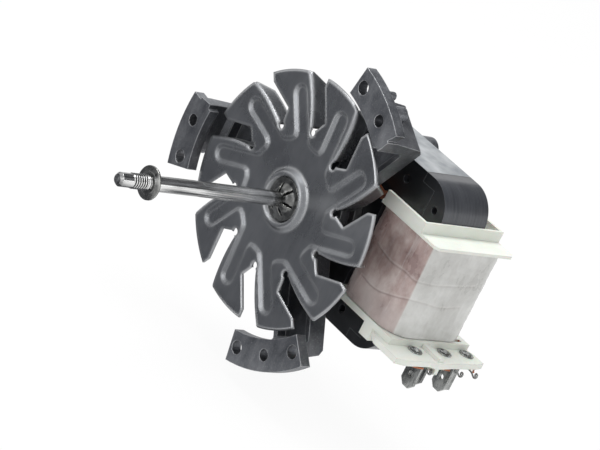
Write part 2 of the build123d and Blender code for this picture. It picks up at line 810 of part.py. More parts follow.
with BuildPart() as blade_flange:
    with BuildSketch(front_view(fan_y)):
        with BuildLine():
            bend = ThreePointArc(crease_start, crease_middle, crease_end)
            inner_bend = ThreePointArc(
                inside_crease(crease_start, fan_sheet),
                inside_crease(crease_middle, fan_sheet),
                inside_crease(crease_end, fan_sheet),
            )
            Line(bend @ 0, inner_bend @ 0)
            Line(bend @ 1, inner_bend @ 1)
        make_face()
    extrude(amount=-flange_depth)
    side_plane = Plane(
        origin=(crease_start[0], fan_y, crease_start[1]),
        x_dir=(crease_x, 0, crease_z),
        z_dir=(-crease_z, 0, crease_x),
    )
    with BuildSketch(side_plane):
        with BuildLine():
            Polyline(
                (-1, 0),
                (crease_run + 1, 0),
                (crease_run - 3.5, flange_depth),
                (1.0, flange_depth),
                close=True,
            )
        make_face()
    extrude(amount=4, both=True, mode=Mode.INTERSECT)
    bend_edges = blade_flange.edges().filter_by(GeomType.CIRCLE).group_by(Axis.Y)[0]
    chamfer(bend_edges.sort_by(Axis.X)[-1], bend_chamfer)

with BuildPart() as blade_gap:
    with BuildSketch(front_view(fan_y - 1)):
        with BuildLine():
            gap_edge = ThreePointArc(
                inside_crease(crease_start, 0.7),
                inside_crease(crease_middle, 0.7),
                inside_crease(crease_end, 0.7),
            )
            Polyline(
                gap_edge @ 1,
                (-0.319 * fan_r, 1.038 * fan_r),
                (-0.069 * fan_r, 1.038 * fan_r),
                (-0.069 * fan_r, 0.924 * fan_r),
                (0.0857 * fan_r, 0.6976 * fan_r),
                (0.0238 * fan_r, 0.6024 * fan_r),
                gap_edge @ 0,
            )
        make_face()
        with Locations((0, relief_circle_r)):
            RegularPolygon(relief_r, 10)
    extrude(amount=-3)


def corner_points(centre, radius, start, end, steps):
    """Points along an arc, with angles counted from local +x."""
    turns = [start + (end - start) * i / steps for i in range(steps + 1)]
    return [(centre[0] + radius * math.cos(t), centre[1] + radius * math.sin(t)) for t in turns]


def star_outline(y, shrink):
    """Corners of the pressed star: a round centre with a finger out to each blade."""
    half_width = finger_half_width - shrink
    root_r = finger_root_r + shrink
    root_reach = disc_r - shrink + root_r
    left_x = finger_x - half_width - root_r
    right_x = finger_x + half_width + root_r
    left_root = (left_x, math.sqrt(root_reach**2 - left_x**2))
    right_root = (right_x, math.sqrt(root_reach**2 - right_x**2))
    left_turn = math.atan2(-left_root[1], -left_root[0])
    right_turn = math.atan2(-right_root[1], -right_root[0])
    finger = corner_points(left_root, root_r, left_turn, 0, 2)
    finger += corner_points((finger_x, finger_end_z), half_width, math.pi, 0, 6)
    finger += corner_points(right_root, root_r, -math.pi, right_turn, 2)
    corners = []
    for count in range(fan_blades):
        turn = math.radians(first_slot + count * blade_pitch)
        for x, z in finger:
            across = x * math.cos(turn) + z * math.sin(turn)
            corners.append(Vector(across, y, z * math.cos(turn) - x * math.sin(turn)))
    return corners


def pressed_star(y):
    """Solid between the star's edge at one depth and its smaller floor behind."""
    edge = star_outline(y, 0)
    floor = star_outline(y + star_depth, star_wall)
    faces = [Face(Wire.make_polygon(edge)), Face(Wire.make_polygon(floor))]
    for i in range(len(edge)):
        corners = [edge[i - 1], edge[i], floor[i], floor[i - 1]]
        faces.append(Face(Wire.make_polygon(corners)))
    return Solid(Shell(faces))


with BuildPart() as cooling_fan:
    with BuildSketch(front_view(fan_y)):
        Circle(fan_r)
    extrude(amount=-fan_sheet)
    add(pressed_star(fan_y), mode=Mode.SUBTRACT)
    add(pressed_star(fan_y + fan_sheet))
    with BuildSketch(front_view(fan_y - 1)):
        Circle(hub_foot_r - 0.1)
    extrude(amount=-4, mode=Mode.SUBTRACT)
    with BuildSketch(Plane.XY):
        with BuildLine():
            Polyline(
                (shaft_r + 0.02, nut_seat_y),
                (nut_r + 0.3, nut_seat_y),
                (nut_r + 0.9, hub_lip_y + 0.1),
                (nut_r + 1.5, hub_lip_y),
                (nut_r + 1.9, hub_lip_y + 0.2),
                (hub_foot_r, fan_y + fan_sheet),
                (hub_foot_r, fan_y + 2 * fan_sheet),
                (nut_r + 1.6, nut_seat_y + fan_sheet),
                (shaft_r + 0.02, nut_seat_y + fan_sheet),
                close=True,
            )
        make_face()
    revolve(axis=Axis.Y)
    for count in range(fan_blades):
        turn = first_slot + count * blade_pitch
        add(blade_gap.part.rotate(Axis.Y, turn), mode=Mode.SUBTRACT)
        add(blade_flange.part.rotate(Axis.Y, turn))

# Dished spring nut that presses the fan against its spacer
nut_bore_r = (shaft_r + seat_gap) / math.cos(math.pi / (2 * round_sides))
with BuildPart() as fan_push_nut:
    nut_profile = [
        (nut_bore_r, nut_seat_y - 2.1),
        (nut_r - 1.3, nut_seat_y - nut_sheet),
        (nut_r, nut_seat_y - nut_sheet),
        (nut_r, nut_seat_y),
        (nut_r - 1.5, nut_seat_y),
        (nut_bore_r, nut_seat_y - 1.5),
    ]
    add(turned(nut_profile, 2 * round_sides))
    with BuildSketch(front_view(nut_seat_y - 3)):
        with PolarLocations(3.6, 6, start_angle=30):
            Rectangle(3.6, 0.9)
    extrude(amount=-4, mode=Mode.SUBTRACT)

# Spacer between the fan and the front bearing, with a shoulder behind the fan
spacer_back_y = front_bearing_y - bearing_length / 2 - 0.05
spacer_bore_r = (shaft_r + seat_gap) / math.cos(math.pi / round_sides)
with BuildPart() as fan_spacer:
    spacer_profile = [
        (spacer_bore_r, nut_seat_y + fan_sheet),
        (6.0, nut_seat_y + fan_sheet),
        (6.0, nut_seat_y + fan_sheet + 1.5),
        (3.3, nut_seat_y + fan_sheet + 2.4),
        (3.3, spacer_back_y),
        (spacer_bore_r, spacer_back_y),
    ]
    add(turned(spacer_profile, round_sides))


def ball_bearing_sleeve(centre_y):
    """Self-aligning sleeve bearing: a ball with flat ends around the shaft."""
    half = bearing_length / 2
    face_r = math.sqrt(ball_r**2 - half**2)
    bore = (shaft_r + running_gap) / math.cos(math.pi / round_sides)
    turns = [math.radians(a) for a in (-seat_angle, -crown_angle, crown_angle, seat_angle)]
    profile = [
        (bore, centre_y - half),
        (face_r, centre_y - half),
        *[(ball_r * math.cos(t), centre_y + ball_r * math.sin(t)) for t in turns],
        (face_r, centre_y + half),
        (bore, centre_y + half),
    ]
    return turned(profile, round_sides)


with BuildPart() as front_bearing:
    add(ball_bearing_sleeve(front_bearing_y))

with BuildPart() as rear_bearing:
    add(ball_bearing_sleeve(rear_bearing_y))


def retainer_face(y):
    """Spring washer with six fingers that hold the ball in its seat."""
    with BuildSketch(front_view(y)) as face:
        RegularPolygon(pocket_r - 0.01, round_sides)
        RegularPolygon(5.6, round_sides, mode=Mode.SUBTRACT)
        with PolarLocations(6.3, 6, start_angle=0):
            Rectangle(2.2, 1.0, mode=Mode.SUBTRACT)
    return face.sketch


with BuildPart() as front_retainer:
    extrude(retainer_face(front_bearing_y + retainer_offset), amount=-retainer_thickness)

with BuildPart() as rear_retainer:
    extrude(retainer_face(rear_bearing_y - retainer_offset - retainer_thickness), amount=-retainer_thickness)

# Oil felts fill the pockets around the bearings
with BuildPart() as front_oil_felt:
    with BuildSketch(front_view(front_bearing_y - seat_end + 0.05)):
        RegularPolygon(pocket_r - 0.05, round_sides)
        RegularPolygon(ball_r + 0.05, round_sides, major_radius=False, mode=Mode.SUBTRACT)
    extrude(amount=-(seat_end + retainer_offset - 0.1))

with BuildPart() as rear_oil_felt:
    with BuildSketch(front_view(rear_bearing_y - retainer_offset + 0.05)):
        RegularPolygon(pocket_r - 0.05, round_sides)
        RegularPolygon(ball_r + 0.05, round_sides, major_radius=False, mode=Mode.SUBTRACT)
    extrude(amount=-(seat_end + retainer_offset - 0.1))

# Thrust washers run against the inner faces of both bearings
thrust_thickness = 0.3
thrust_r = 4.1
sleeve_r = 4.4
front_thrust_y = front_bearing_y + bearing_length / 2 + 0.05
rear_thrust_y = rear_bearing_y - bearing_length / 2 - 0.05 - thrust_thickness
with BuildPart() as front_thrust_washer:
    with BuildSketch(front_view(front_thrust_y)):
        RegularPolygon(thrust_r, round_sides)
        RegularPolygon(shaft_r + seat_gap, round_sides, major_radius=False, mode=Mode.SUBTRACT)
    extrude(amount=-thrust_thickness)

with BuildPart() as rear_thrust_washer:
    with BuildSketch(front_view(rear_thrust_y)):
        RegularPolygon(thrust_r, round_sides)
        RegularPolygon(shaft_r + seat_gap, round_sides, major_radius=False, mode=Mode.SUBTRACT)
    extrude(amount=-thrust_thickness)

# Sleeves pressed on the shaft at both ends of the rotor
front_sleeve_y = front_thrust_y + thrust_thickness
with BuildPart() as front_rotor_sleeve:
    with BuildSketch(front_view(front_sleeve_y)):
        RegularPolygon(sleeve_r, round_sides)
        RegularPolygon(shaft_r + seat_gap, round_sides, major_radius=False, mode=Mode.SUBTRACT)
    extrude(amount=-(core_front_y - front_sleeve_y))

with BuildPart() as rear_rotor_sleeve:
    with BuildSketch(front_view(core_back_y)):
        RegularPolygon(sleeve_r, round_sides)
        RegularPolygon(shaft_r + seat_gap, round_sides, major_radius=False, mode=Mode.SUBTRACT)
    extrude(amount=-(rear_thrust_y - core_back_y))


def skewed_bar(number, half_size):
    """One cage bar, set over along the stack so that the slots run askew."""
    turn = number * 360 / cage_bars
    ends = []
    for y, angle in ((core_front_y, turn), (core_back_y, turn + bar_skew)):
        with BuildSketch(front_view(y)) as end:
            with Locations(around(bar_circle_r, angle)):
                Rectangle(2 * half_size, 2 * half_size, rotation=-turn)
        ends.append(end.sketch)
    return ends


# Rotor stack with skewed slots, and the cast cage that fills them
with BuildPart() as rotor_core:
    with BuildSketch(front_view(core_front_y)):
        Circle(rotor_r)
        Circle(shaft_r + seat_gap, mode=Mode.SUBTRACT)
    extrude(amount=-core_length)
    for number in range(cage_bars):
        loft(skewed_bar(number, bar_half_size + seat_gap), ruled=True, mode=Mode.SUBTRACT)

with BuildPart() as rotor_cage:
    with BuildSketch(front_view(core_front_y - end_ring_length)):
        Circle(rotor_r - 0.3)
        Circle(end_ring_inner_r, mode=Mode.SUBTRACT)
    extrude(amount=-end_ring_length)
    with BuildSketch(front_view(core_back_y)):
        Circle(rotor_r - 0.3)
        Circle(end_ring_inner_r, mode=Mode.SUBTRACT)
    extrude(amount=-end_ring_length)
    for number in range(cage_bars):
        loft(skewed_bar(number, bar_half_size), ruled=True)

# Two long screws clamp bracket, core and bracket together
with BuildPart() as bracket_screws:
    with BuildSketch(front_view(screw_front_y)):
        with Locations((0, screw_z), (0, -screw_z)):
            RegularPolygon(screw_r, eyelet_sides)
    extrude(amount=-(core_back_y + screw_reach - screw_front_y))
    with BuildSketch(front_view(screw_front_y - screw_head_height)):
        with Locations((0, screw_z), (0, -screw_z)):
            RegularPolygon(screw_head_r, 6)
    extrude(amount=-screw_head_height)
    with BuildSketch(front_view(screw_front_y - screw_head_height)):
        with Locations((0, screw_z), (0, -screw_z)):
            Rectangle(2 * screw_head_r + 1, screw_slot)
    extrude(amount=-1.0, mode=Mode.SUBTRACT)

front_bracket.part.label = "front_bracket"
export_step(front_bracket.part, "parts/front_bracket.step")
rear_bracket.part.label = "rear_bracket"
export_step(rear_bracket.part, "parts/rear_bracket.step")
slotted_core.label = "stator_core"
export_step(slotted_core, "parts/stator_core.step")
coil_leg.part.label = "coil_leg"
export_step(coil_leg.part, "parts/coil_leg.step")
shading_rings.part.label = "shading_rings"
export_step(shading_rings.part, "parts/shading_rings.step")
bobbin.part.label = "bobbin"
export_step(bobbin.part, "parts/bobbin.step")
winding.part.label = "winding"
export_step(winding.part, "parts/winding.step")
coil_tape.part.label = "coil_tape"
export_step(coil_tape.part, "parts/coil_tape.step")
terminal_line.part.label = "terminal_line"
export_step(terminal_line.part, "parts/terminal_line.step")
terminal_neutral.part.label = "terminal_neutral"
export_step(terminal_neutral.part, "parts/terminal_neutral.step")
terminal_link.part.label = "terminal_link"
export_step(terminal_link.part, "parts/terminal_link.step")
terminal_eyelets.part.label = "terminal_eyelets"
export_step(terminal_eyelets.part, "parts/terminal_eyelets.step")
winding_leads.part.label = "winding_leads"
export_step(winding_leads.part, "parts/winding_leads.step")
front_bearing.part.label = "front_bearing"
export_step(front_bearing.part, "parts/front_bearing.step")
rear_bearing.part.label = "rear_bearing"
export_step(rear_bearing.part, "parts/rear_bearing.step")
front_retainer.part.label = "front_retainer"
export_step(front_retainer.part, "parts/front_retainer.step")
rear_retainer.part.label = "rear_retainer"
export_step(rear_retainer.part, "parts/rear_retainer.step")
front_oil_felt.part.label = "front_oil_felt"
export_step(front_oil_felt.part, "parts/front_oil_felt.step")
rear_oil_felt.part.label = "rear_oil_felt"
export_step(rear_oil_felt.part, "parts/rear_oil_felt.step")
bracket_screws.part.label = "bracket_screws"
export_step(bracket_screws.part, "parts/bracket_screws.step")
shaft.part.label = "shaft"
export_step(shaft.part, "parts/shaft.step")
rotor_core.part.label = "rotor_core"
export_step(rotor_core.part, "parts/rotor_core.step")
rotor_cage.part.label = "rotor_cage"
export_step(rotor_cage.part, "parts/rotor_cage.step")
front_rotor_sleeve.part.label = "front_rotor_sleeve"
export_step(front_rotor_sleeve.part, "parts/front_rotor_sleeve.step")
rear_rotor_sleeve.part.label = "rear_rotor_sleeve"
export_step(rear_rotor_sleeve.part, "parts/rear_rotor_sleeve.step")
front_thrust_washer.part.label = "front_thrust_washer"
export_step(front_thrust_washer.part, "parts/front_thrust_washer.step")
rear_thrust_washer.part.label = "rear_thrust_washer"
export_step(rear_thrust_washer.part, "parts/rear_thrust_washer.step")
cooling_fan.part.label = "cooling_fan"
export_step(cooling_fan.part, "parts/cooling_fan.step")
fan_push_nut.part.label = "fan_push_nut"
export_step(fan_push_nut.part, "parts/fan_push_nut.step")
fan_spacer.part.label = "fan_spacer"
export_step(fan_spacer.part, "parts/fan_spacer.step")
stop_washer.part.label = "stop_washer"
export_step(stop_washer.part, "parts/stop_washer.step")
retaining_ring.part.label = "retaining_ring"
export_step(retaining_ring.part, "parts/retaining_ring.step")
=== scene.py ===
import json
import math

import bmesh
import bpy
from mathutils import Matrix, Vector


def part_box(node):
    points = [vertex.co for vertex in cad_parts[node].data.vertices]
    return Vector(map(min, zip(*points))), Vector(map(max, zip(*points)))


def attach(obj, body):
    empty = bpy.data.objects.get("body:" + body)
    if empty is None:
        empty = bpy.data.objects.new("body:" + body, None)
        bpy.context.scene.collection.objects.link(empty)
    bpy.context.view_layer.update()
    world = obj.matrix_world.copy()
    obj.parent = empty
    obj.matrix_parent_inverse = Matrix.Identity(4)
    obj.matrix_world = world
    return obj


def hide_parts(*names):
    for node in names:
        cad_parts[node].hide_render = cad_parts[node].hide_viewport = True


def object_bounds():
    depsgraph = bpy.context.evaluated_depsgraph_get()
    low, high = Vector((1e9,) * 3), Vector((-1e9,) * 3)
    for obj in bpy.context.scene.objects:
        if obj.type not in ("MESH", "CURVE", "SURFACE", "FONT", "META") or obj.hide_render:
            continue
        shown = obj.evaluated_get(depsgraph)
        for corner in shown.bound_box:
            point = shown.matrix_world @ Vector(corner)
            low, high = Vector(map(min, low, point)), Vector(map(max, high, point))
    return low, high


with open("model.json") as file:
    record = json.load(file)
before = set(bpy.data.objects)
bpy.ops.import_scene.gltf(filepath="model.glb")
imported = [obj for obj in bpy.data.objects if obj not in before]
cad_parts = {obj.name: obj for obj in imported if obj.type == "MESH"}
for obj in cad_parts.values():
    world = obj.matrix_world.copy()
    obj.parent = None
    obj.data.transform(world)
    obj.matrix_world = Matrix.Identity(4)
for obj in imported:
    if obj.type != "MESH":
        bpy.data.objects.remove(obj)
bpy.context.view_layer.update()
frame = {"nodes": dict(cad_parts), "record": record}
nodes = frame["nodes"]
scene = bpy.context.scene
MM = 0.001


# Materials
class Shader:
    """A small helper that builds one node material on a Principled shader."""

    def __init__(self, name):
        self.mat = bpy.data.materials.new(name)
        self.mat.use_nodes = True
        self.tree = self.mat.node_tree
        self.tree.nodes.clear()
        self.out = self.add("ShaderNodeOutputMaterial")
        self.bsdf = self.add("ShaderNodeBsdfPrincipled")
        self.link(self.bsdf.outputs[0], self.out.inputs["Surface"])
        self.coord = self.add("ShaderNodeTexCoord")

    def add(self, kind, **values):
        node = self.tree.nodes.new(kind)
        for key, value in values.items():
            setattr(node, key, value)
        return node

    def link(self, a, b):
        self.tree.links.new(a, b)

    def place(self, stretch=(1, 1, 1), turn=(0, 0, 0)):
        """Object coordinates, in metres, scaled per axis."""
        m = self.add("ShaderNodeMapping")
        m.inputs["Scale"].default_value = stretch
        m.inputs["Rotation"].default_value = turn
        self.link(self.coord.outputs["Object"], m.inputs["Vector"])
        return m.outputs[0]

    def noise(self, scale, detail=3.0, rough=0.55, stretch=(1, 1, 1), turn=(0, 0, 0)):
        n = self.add("ShaderNodeTexNoise")
        n.inputs["Scale"].default_value = scale
        n.inputs["Detail"].default_value = detail
        n.inputs["Roughness"].default_value = rough
        self.link(self.place(stretch, turn), n.inputs["Vector"])
        return n.outputs["Fac"]

    def ramp(self, fac, stops):
        r = self.add("ShaderNodeValToRGB")
        e = r.color_ramp.elements
        e[0].position, e[0].color = stops[0][0], (*stops[0][1], 1)
        e[1].position, e[1].color = stops[-1][0], (*stops[-1][1], 1)
        for pos, col in stops[1:-1]:
            x = e.new(pos)
            x.color = (*col, 1)
        self.link(fac, r.inputs["Fac"])
        return r.outputs["Color"]

    def span(self, fac, low, high, a, b):
        m = self.add("ShaderNodeMapRange")
        m.inputs["From Min"].default_value = low
        m.inputs["From Max"].default_value = high
        m.inputs["To Min"].default_value = a
        m.inputs["To Max"].default_value = b
        self.link(fac, m.inputs["Value"])
        return m.outputs["Result"]

    def feed(self, socket, value):
        """Gives a socket a number, a colour or another node's output."""
        if isinstance(value, (int, float)):
            socket.default_value = value
        elif isinstance(value, tuple):
            socket.default_value = (*value, 1)
        else:
            self.link(value, socket)

    def math(self, op, a, b=None):
        m = self.add("ShaderNodeMath", operation=op)
        self.feed(m.inputs[0], a)
        if b is not None:
            self.feed(m.inputs[1], b)
        return m.outputs[0]

    def mix(self, fac, a, b):
        m = self.add("ShaderNodeMix", data_type="RGBA")
        for key, value in (("Factor", fac), ("A", a), ("B", b)):
            self.feed(next(s for s in m.inputs if s.name == key and s.enabled), value)
        return next(o for o in m.outputs if o.enabled)

    def mark(self, name):
        """A value that the mesh holds at its points."""
        return self.add("ShaderNodeAttribute", attribute_name=name).outputs["Fac"]

    def bump(self, height, distance, strength=1.0, normal=None):
        b = self.add("ShaderNodeBump")
        b.inputs["Strength"].default_value = strength
        b.inputs["Distance"].default_value = distance
        self.link(height, b.inputs["Height"])
        if normal is not None:
            self.link(normal, b.inputs["Normal"])
        return b.outputs[0]

    def soft_edges(self, radius, samples=4):
        b = self.add("ShaderNodeBevel", samples=samples)
        b.inputs["Radius"].default_value = radius
        return b.outputs[0]

    def edge_mask(self, soft, low, high):
        """1 where the rounded normal leaves the true one, so along edges, 0 on flats."""
        geo = self.add("ShaderNodeNewGeometry")
        dot = self.add("ShaderNodeVectorMath", operation="DOT_PRODUCT")
        self.link(geo.outputs["Normal"], dot.inputs[0])
        self.link(soft, dot.inputs[1])
        return self.span(self.math("SUBTRACT", 1.0, dot.outputs["Value"]), low, high, 0.0, 1.0)

    def set(self, **values):
        for key, value in values.items():
            self.feed(self.bsdf.inputs[key.replace("_", " ")], value)


ROUGH_SPREAD = 0.1
PLAIN_PATCH = 120
PLAIN_EDGE = 0.00025


def plain(name, dark, light, metallic, rough, grain, grain_depth):
    """Two-tone surface with fine grain, patchy roughness and softened edges."""
    s = Shader(name)
    broad = s.noise(PLAIN_PATCH, 3)
    fine = s.noise(grain, 4, 0.6)
    both = s.math("ADD", s.math("MULTIPLY", broad, 0.6), s.math("MULTIPLY", fine, 0.4))
    s.set(
        Base_Color=s.ramp(both, [(0.35, dark), (0.65, light)]),
        Metallic=metallic,
        Roughness=s.span(both, 0.35, 0.65, rough - ROUGH_SPREAD, rough + ROUGH_SPREAD),
        Normal=s.bump(fine, grain_depth, 0.6, s.soft_edges(PLAIN_EDGE)),
    )
    return s.mat


def worn_and_edge_lit(name, dark, light, edge_tone, metallic, rough, grain, grain_depth, patch, edge, stretch=(1, 1, 1)):
    """Dark metal with streaks, cloudy patches and edges painted bright, partly as rubbed wear and partly as a
    painted highlight.
    """
    s = Shader(name)
    broad = s.noise(patch, 4, 0.6)
    fine = s.noise(grain, 5, 0.65, stretch)
    both = s.math("ADD", s.math("MULTIPLY", broad, 0.5), s.math("MULTIPLY", fine, 0.5))
    tone = s.ramp(both, [(0.38, dark), (0.62, light)])
    soft = s.soft_edges(edge)
    # Edges painted bright: partly rubbed wear, partly a painted highlight.
    rubbed_and_lit = s.edge_mask(soft, 0.02, 0.16)
    rubbed_and_lit = s.math("MULTIPLY", rubbed_and_lit, s.span(fine, 0.3, 0.6, 0.45, 1.0))
    s.set(
        Base_Color=s.mix(rubbed_and_lit, tone, edge_tone),
        Metallic=metallic,
        Roughness=s.math("SUBTRACT", s.span(both, 0.35, 0.65, rough - ROUGH_SPREAD, rough + ROUGH_SPREAD),
                         s.math("MULTIPLY", rubbed_and_lit, 0.12)),
        Normal=s.bump(fine, grain_depth, 0.7, soft),
    )
    return s.mat


def cast_material():
    """Die-cast alloy: bluish grey skin with flow streaks, small pits, and edges painted bright, partly as
    rubbed wear and partly as a painted highlight.
    """
    s = Shader("cast_aluminium")
    flow = s.noise(260, 6, 0.7, (1, 0.5, 0.35), (0.0, 0.4, 0.0))
    cloud = s.noise(70, 4, 0.6)
    speck = s.noise(2600, 3, 0.7)
    tone = s.math("ADD", s.math("MULTIPLY", flow, 0.55), s.math("MULTIPLY", cloud, 0.45))
    base = s.ramp(
        tone,
        [(0.34, (0.078, 0.083, 0.095)), (0.5, (0.140, 0.146, 0.160)), (0.66, (0.225, 0.232, 0.246))],
    )
    base = s.mix(s.span(speck, 0.57, 0.69, 0.0, 0.6), base, (0.44, 0.445, 0.455))
    soft = s.soft_edges(0.0004)
    # Edges painted bright: partly rubbed wear, partly a painted highlight.
    rubbed_and_lit = s.math("MULTIPLY", s.edge_mask(soft, 0.03, 0.2), s.span(flow, 0.35, 0.6, 0.25, 0.8))
    height = s.math("ADD", s.math("MULTIPLY", flow, 0.7), s.math("MULTIPLY", speck, 0.3))
    s.set(
        Base_Color=s.mix(rubbed_and_lit, base, (0.80, 0.81, 0.82)),
        Metallic=0.85,
        Roughness=s.math("SUBTRACT", s.span(tone, 0.35, 0.65, 0.34, 0.56), s.math("MULTIPLY", rubbed_and_lit, 0.1)),
        Normal=s.bump(height, 0.00016, 0.8, soft),
    )
    return s.mat


def fan_material():
    """Pressed sheet: smooth satin skin, wide rounded creases, and bends, ridges and cut edges painted bright,
    partly as bare cut metal and partly as a painted highlight.
    """
    s = Shader("fan_sheet")
    broad = s.noise(55, 3, 0.55)
    fine = s.noise(900, 4, 0.6)
    scuff = s.noise(330, 4, 0.7, (1, 1, 0.2), (0, 0.6, 0))
    both = s.math("ADD", s.math("MULTIPLY", broad, 0.7), s.math("MULTIPLY", scuff, 0.3))
    tone = s.ramp(both, [(0.35, (0.185, 0.192, 0.205)), (0.65, (0.265, 0.273, 0.288))])
    soft = s.soft_edges(0.0018, 8)
    # Painted highlight along the bends and ridges, and on the cut edges, where it also stands for bare cut
    # metal.
    rubbed_and_lit = s.edge_mask(soft, 0.004, 0.085)
    s.set(
        Base_Color=s.mix(s.math("MULTIPLY", s.math("MINIMUM", rubbed_and_lit, 0.5), 0.72), tone, (0.78, 0.79, 0.80)),
        Metallic=0.92,
        Roughness=s.span(both, 0.35, 0.65, 0.24, 0.33),
        Normal=s.bump(fine, 0.000005, 0.5, soft),
    )
    return s.mat


# The wave texture repeats every 2 pi / (20 x its scale)
WAVE_FACTOR = 20
# One sheet's thickness and the core's step joint, in metres as the shader sees them
SHEET_PITCH = 0.00065
JOINT_X = 0.0304
JOINT_HALF = 0.0002
JOINT_FADE = 0.0005


def core_material():
    """Varnished lamination stack: thin sheets along Y, dark, with faint bright sheared edges. The top side,
    up to the step joint, is painted lighter and more metallic where it faces up: a painted sheen."""
    s = Shader("core_steel")
    sheets = s.add("ShaderNodeTexWave", wave_type="BANDS", bands_direction="Y", wave_profile="SIN")
    sheets.inputs["Scale"].default_value = 2 * math.pi / (WAVE_FACTOR * SHEET_PITCH)
    sheets.inputs["Distortion"].default_value = 0.15
    sheets.inputs["Detail"].default_value = 1.0
    s.link(s.coord.outputs["Object"], sheets.inputs["Vector"])
    line = sheets.outputs["Fac"]
    shear = s.noise(420, 4, 0.65, (0.12, 2.6, 0.12))
    cloud = s.noise(90, 3, 0.6)
    shift = s.math("ADD", s.math("MULTIPLY", shear, 0.6), s.math("MULTIPLY", cloud, 0.4))
    face = s.ramp(shift, [(0.35, (0.008, 0.009, 0.011)), (0.65, (0.022, 0.024, 0.028))])
    side = s.ramp(shift, [(0.35, (0.028, 0.031, 0.038)), (0.65, (0.062, 0.066, 0.076))])
    geo = s.add("ShaderNodeNewGeometry")
    split = s.add("ShaderNodeSeparateXYZ")
    s.link(geo.outputs["True Normal"], split.inputs[0])
    across = s.span(s.math("ABSOLUTE", split.outputs[1]), 0.4, 0.6, 1.0, 0.0)
    bright = s.math("MULTIPLY", s.span(line, 0.7, 0.95, 0.0, 0.14), s.span(shear, 0.4, 0.6, 0.2, 1.0))
    base = s.mix(across, face, s.mix(bright, side, (0.12, 0.125, 0.14)))
    place = s.add("ShaderNodeSeparateXYZ")
    s.link(s.coord.outputs["Object"], place.inputs[0])
    # Painted sheen: faces that point up, left of the step joint, get a lighter and more metallic tone, a
    # painted reflection of light from above.
    upward = s.span(split.outputs[2], 0.86, 0.95, 0.0, 1.0)
    inside = s.span(place.outputs[0], JOINT_X - JOINT_HALF, JOINT_X + JOINT_HALF, 1.0, 0.0)
    painted_top_sheen = s.math("MULTIPLY", upward, inside)
    painted_sheen_tone = s.ramp(s.noise(75, 3, 0.6), [(0.36, (0.21, 0.235, 0.26)), (0.62, (0.50, 0.525, 0.545))])
    base = s.mix(painted_top_sheen, base, painted_sheen_tone)
    from_joint = s.math("ABSOLUTE", s.math("SUBTRACT", place.outputs[0], JOINT_X))
    near_joint = s.span(from_joint, JOINT_HALF, JOINT_FADE, 1.0, 0.0)
    base = s.mix(s.math("MULTIPLY", near_joint, across), base, (0.006, 0.006, 0.008))
    # Edges painted lighter: partly rubbed wear, partly a painted highlight.
    soft = s.soft_edges(0.0003)
    rubbed_and_lit = s.math("MULTIPLY", s.edge_mask(soft, 0.02, 0.16), 0.35)
    s.set(
        Base_Color=s.mix(rubbed_and_lit, base, (0.20, 0.21, 0.23)),
        Metallic=s.span(painted_top_sheen, 0.0, 1.0, 0.35, 0.75),
        Roughness=s.span(shift, 0.35, 0.65, 0.32, 0.46),
        Coat_Weight=0.5,
        Coat_Roughness=0.24,
        Normal=s.bump(s.math("MULTIPLY", line, across), 0.00003, 0.5, s.bump(shear, 0.00006, 0.5, soft)),
    )
    return s.mat


def bobbin_material():
    """Moulded nylon: cream with a green tinge, faint flow clouds and fine mould texture."""
    s = Shader("bobbin_plastic")
    cloud = s.noise(60, 3, 0.5)
    fine = s.noise(1400, 3, 0.6)
    tone = s.ramp(cloud, [(0.35, (0.69, 0.72, 0.655)), (0.65, (0.775, 0.795, 0.745))])
    soft = s.soft_edges(0.0004)
    s.set(
        # Edges painted lighter, a painted highlight.
        Base_Color=s.mix(s.math("MULTIPLY", s.edge_mask(soft, 0.02, 0.2), 0.5), tone, (0.82, 0.83, 0.78)),
        Metallic=0.0,
        Roughness=s.span(fine, 0.35, 0.65, 0.34, 0.5),
        Subsurface_Weight=0.12,
        Subsurface_Scale=0.002,
        Normal=s.bump(fine, 0.00003, 0.5, soft),
    )
    return s.mat


TAPE_MARKS = ("past", "fold", "ridge", "low")


def tape_material():
    """Adhesive tape over copper: pinkish mauve in front, grey-white past the overlap, a bit cloudy, with
    painted shade under its folds and a painted highlight on their ridges.
    """
    s = Shader("coil_tape")
    past, fold, ridge, low = (s.mark(name) for name in TAPE_MARKS)
    cloud = s.noise(95, 5, 0.62, (1, 1, 0.7))
    blotch = s.noise(340, 4, 0.6, (1, 1, 0.4))
    streak = s.noise(420, 3, 0.6, (1, 1, 0.05))
    mauve = s.ramp(
        cloud,
        [(0.36, (0.250, 0.170, 0.160)), (0.5, (0.390, 0.292, 0.272)), (0.64, (0.530, 0.450, 0.425))],
    )
    mauve = s.mix(s.math("MULTIPLY", low, 0.55), mauve, (0.50, 0.445, 0.430))
    mauve = s.mix(s.span(blotch, 0.5, 0.7, 0.0, 0.3), mauve, (0.56, 0.50, 0.485))
    grey = s.ramp(
        cloud,
        [(0.36, (0.480, 0.478, 0.460)), (0.5, (0.560, 0.560, 0.542)), (0.64, (0.650, 0.650, 0.634))],
    )
    grey = s.mix(s.span(blotch, 0.55, 0.72, 0.0, 0.22), grey, (0.40, 0.375, 0.36))
    base = s.mix(past, mauve, grey)
    base = s.mix(s.span(streak, 0.62, 0.74, 0.0, 0.4), base, (0.70, 0.70, 0.69))
    # Painted shade just under each fold line.
    base = s.mix(s.math("MULTIPLY", fold, 0.5), base, (0.16, 0.115, 0.11))
    # Painted highlight on each fold's ridge and along the tape's outer end.
    base = s.mix(s.math("MULTIPLY", ridge, 0.22), base, (0.74, 0.72, 0.70))
    relief = s.math("ADD", s.math("MULTIPLY", blotch, 0.7), s.math("MULTIPLY", streak, 0.3))
    s.set(
        Base_Color=base,
        Metallic=0.0,
        Roughness=s.span(cloud, 0.35, 0.65, 0.26, 0.44),
        Coat_Weight=0.2,
        Coat_Roughness=0.25,
        Normal=s.bump(relief, 0.0003, 0.7),
    )
    return s.mat


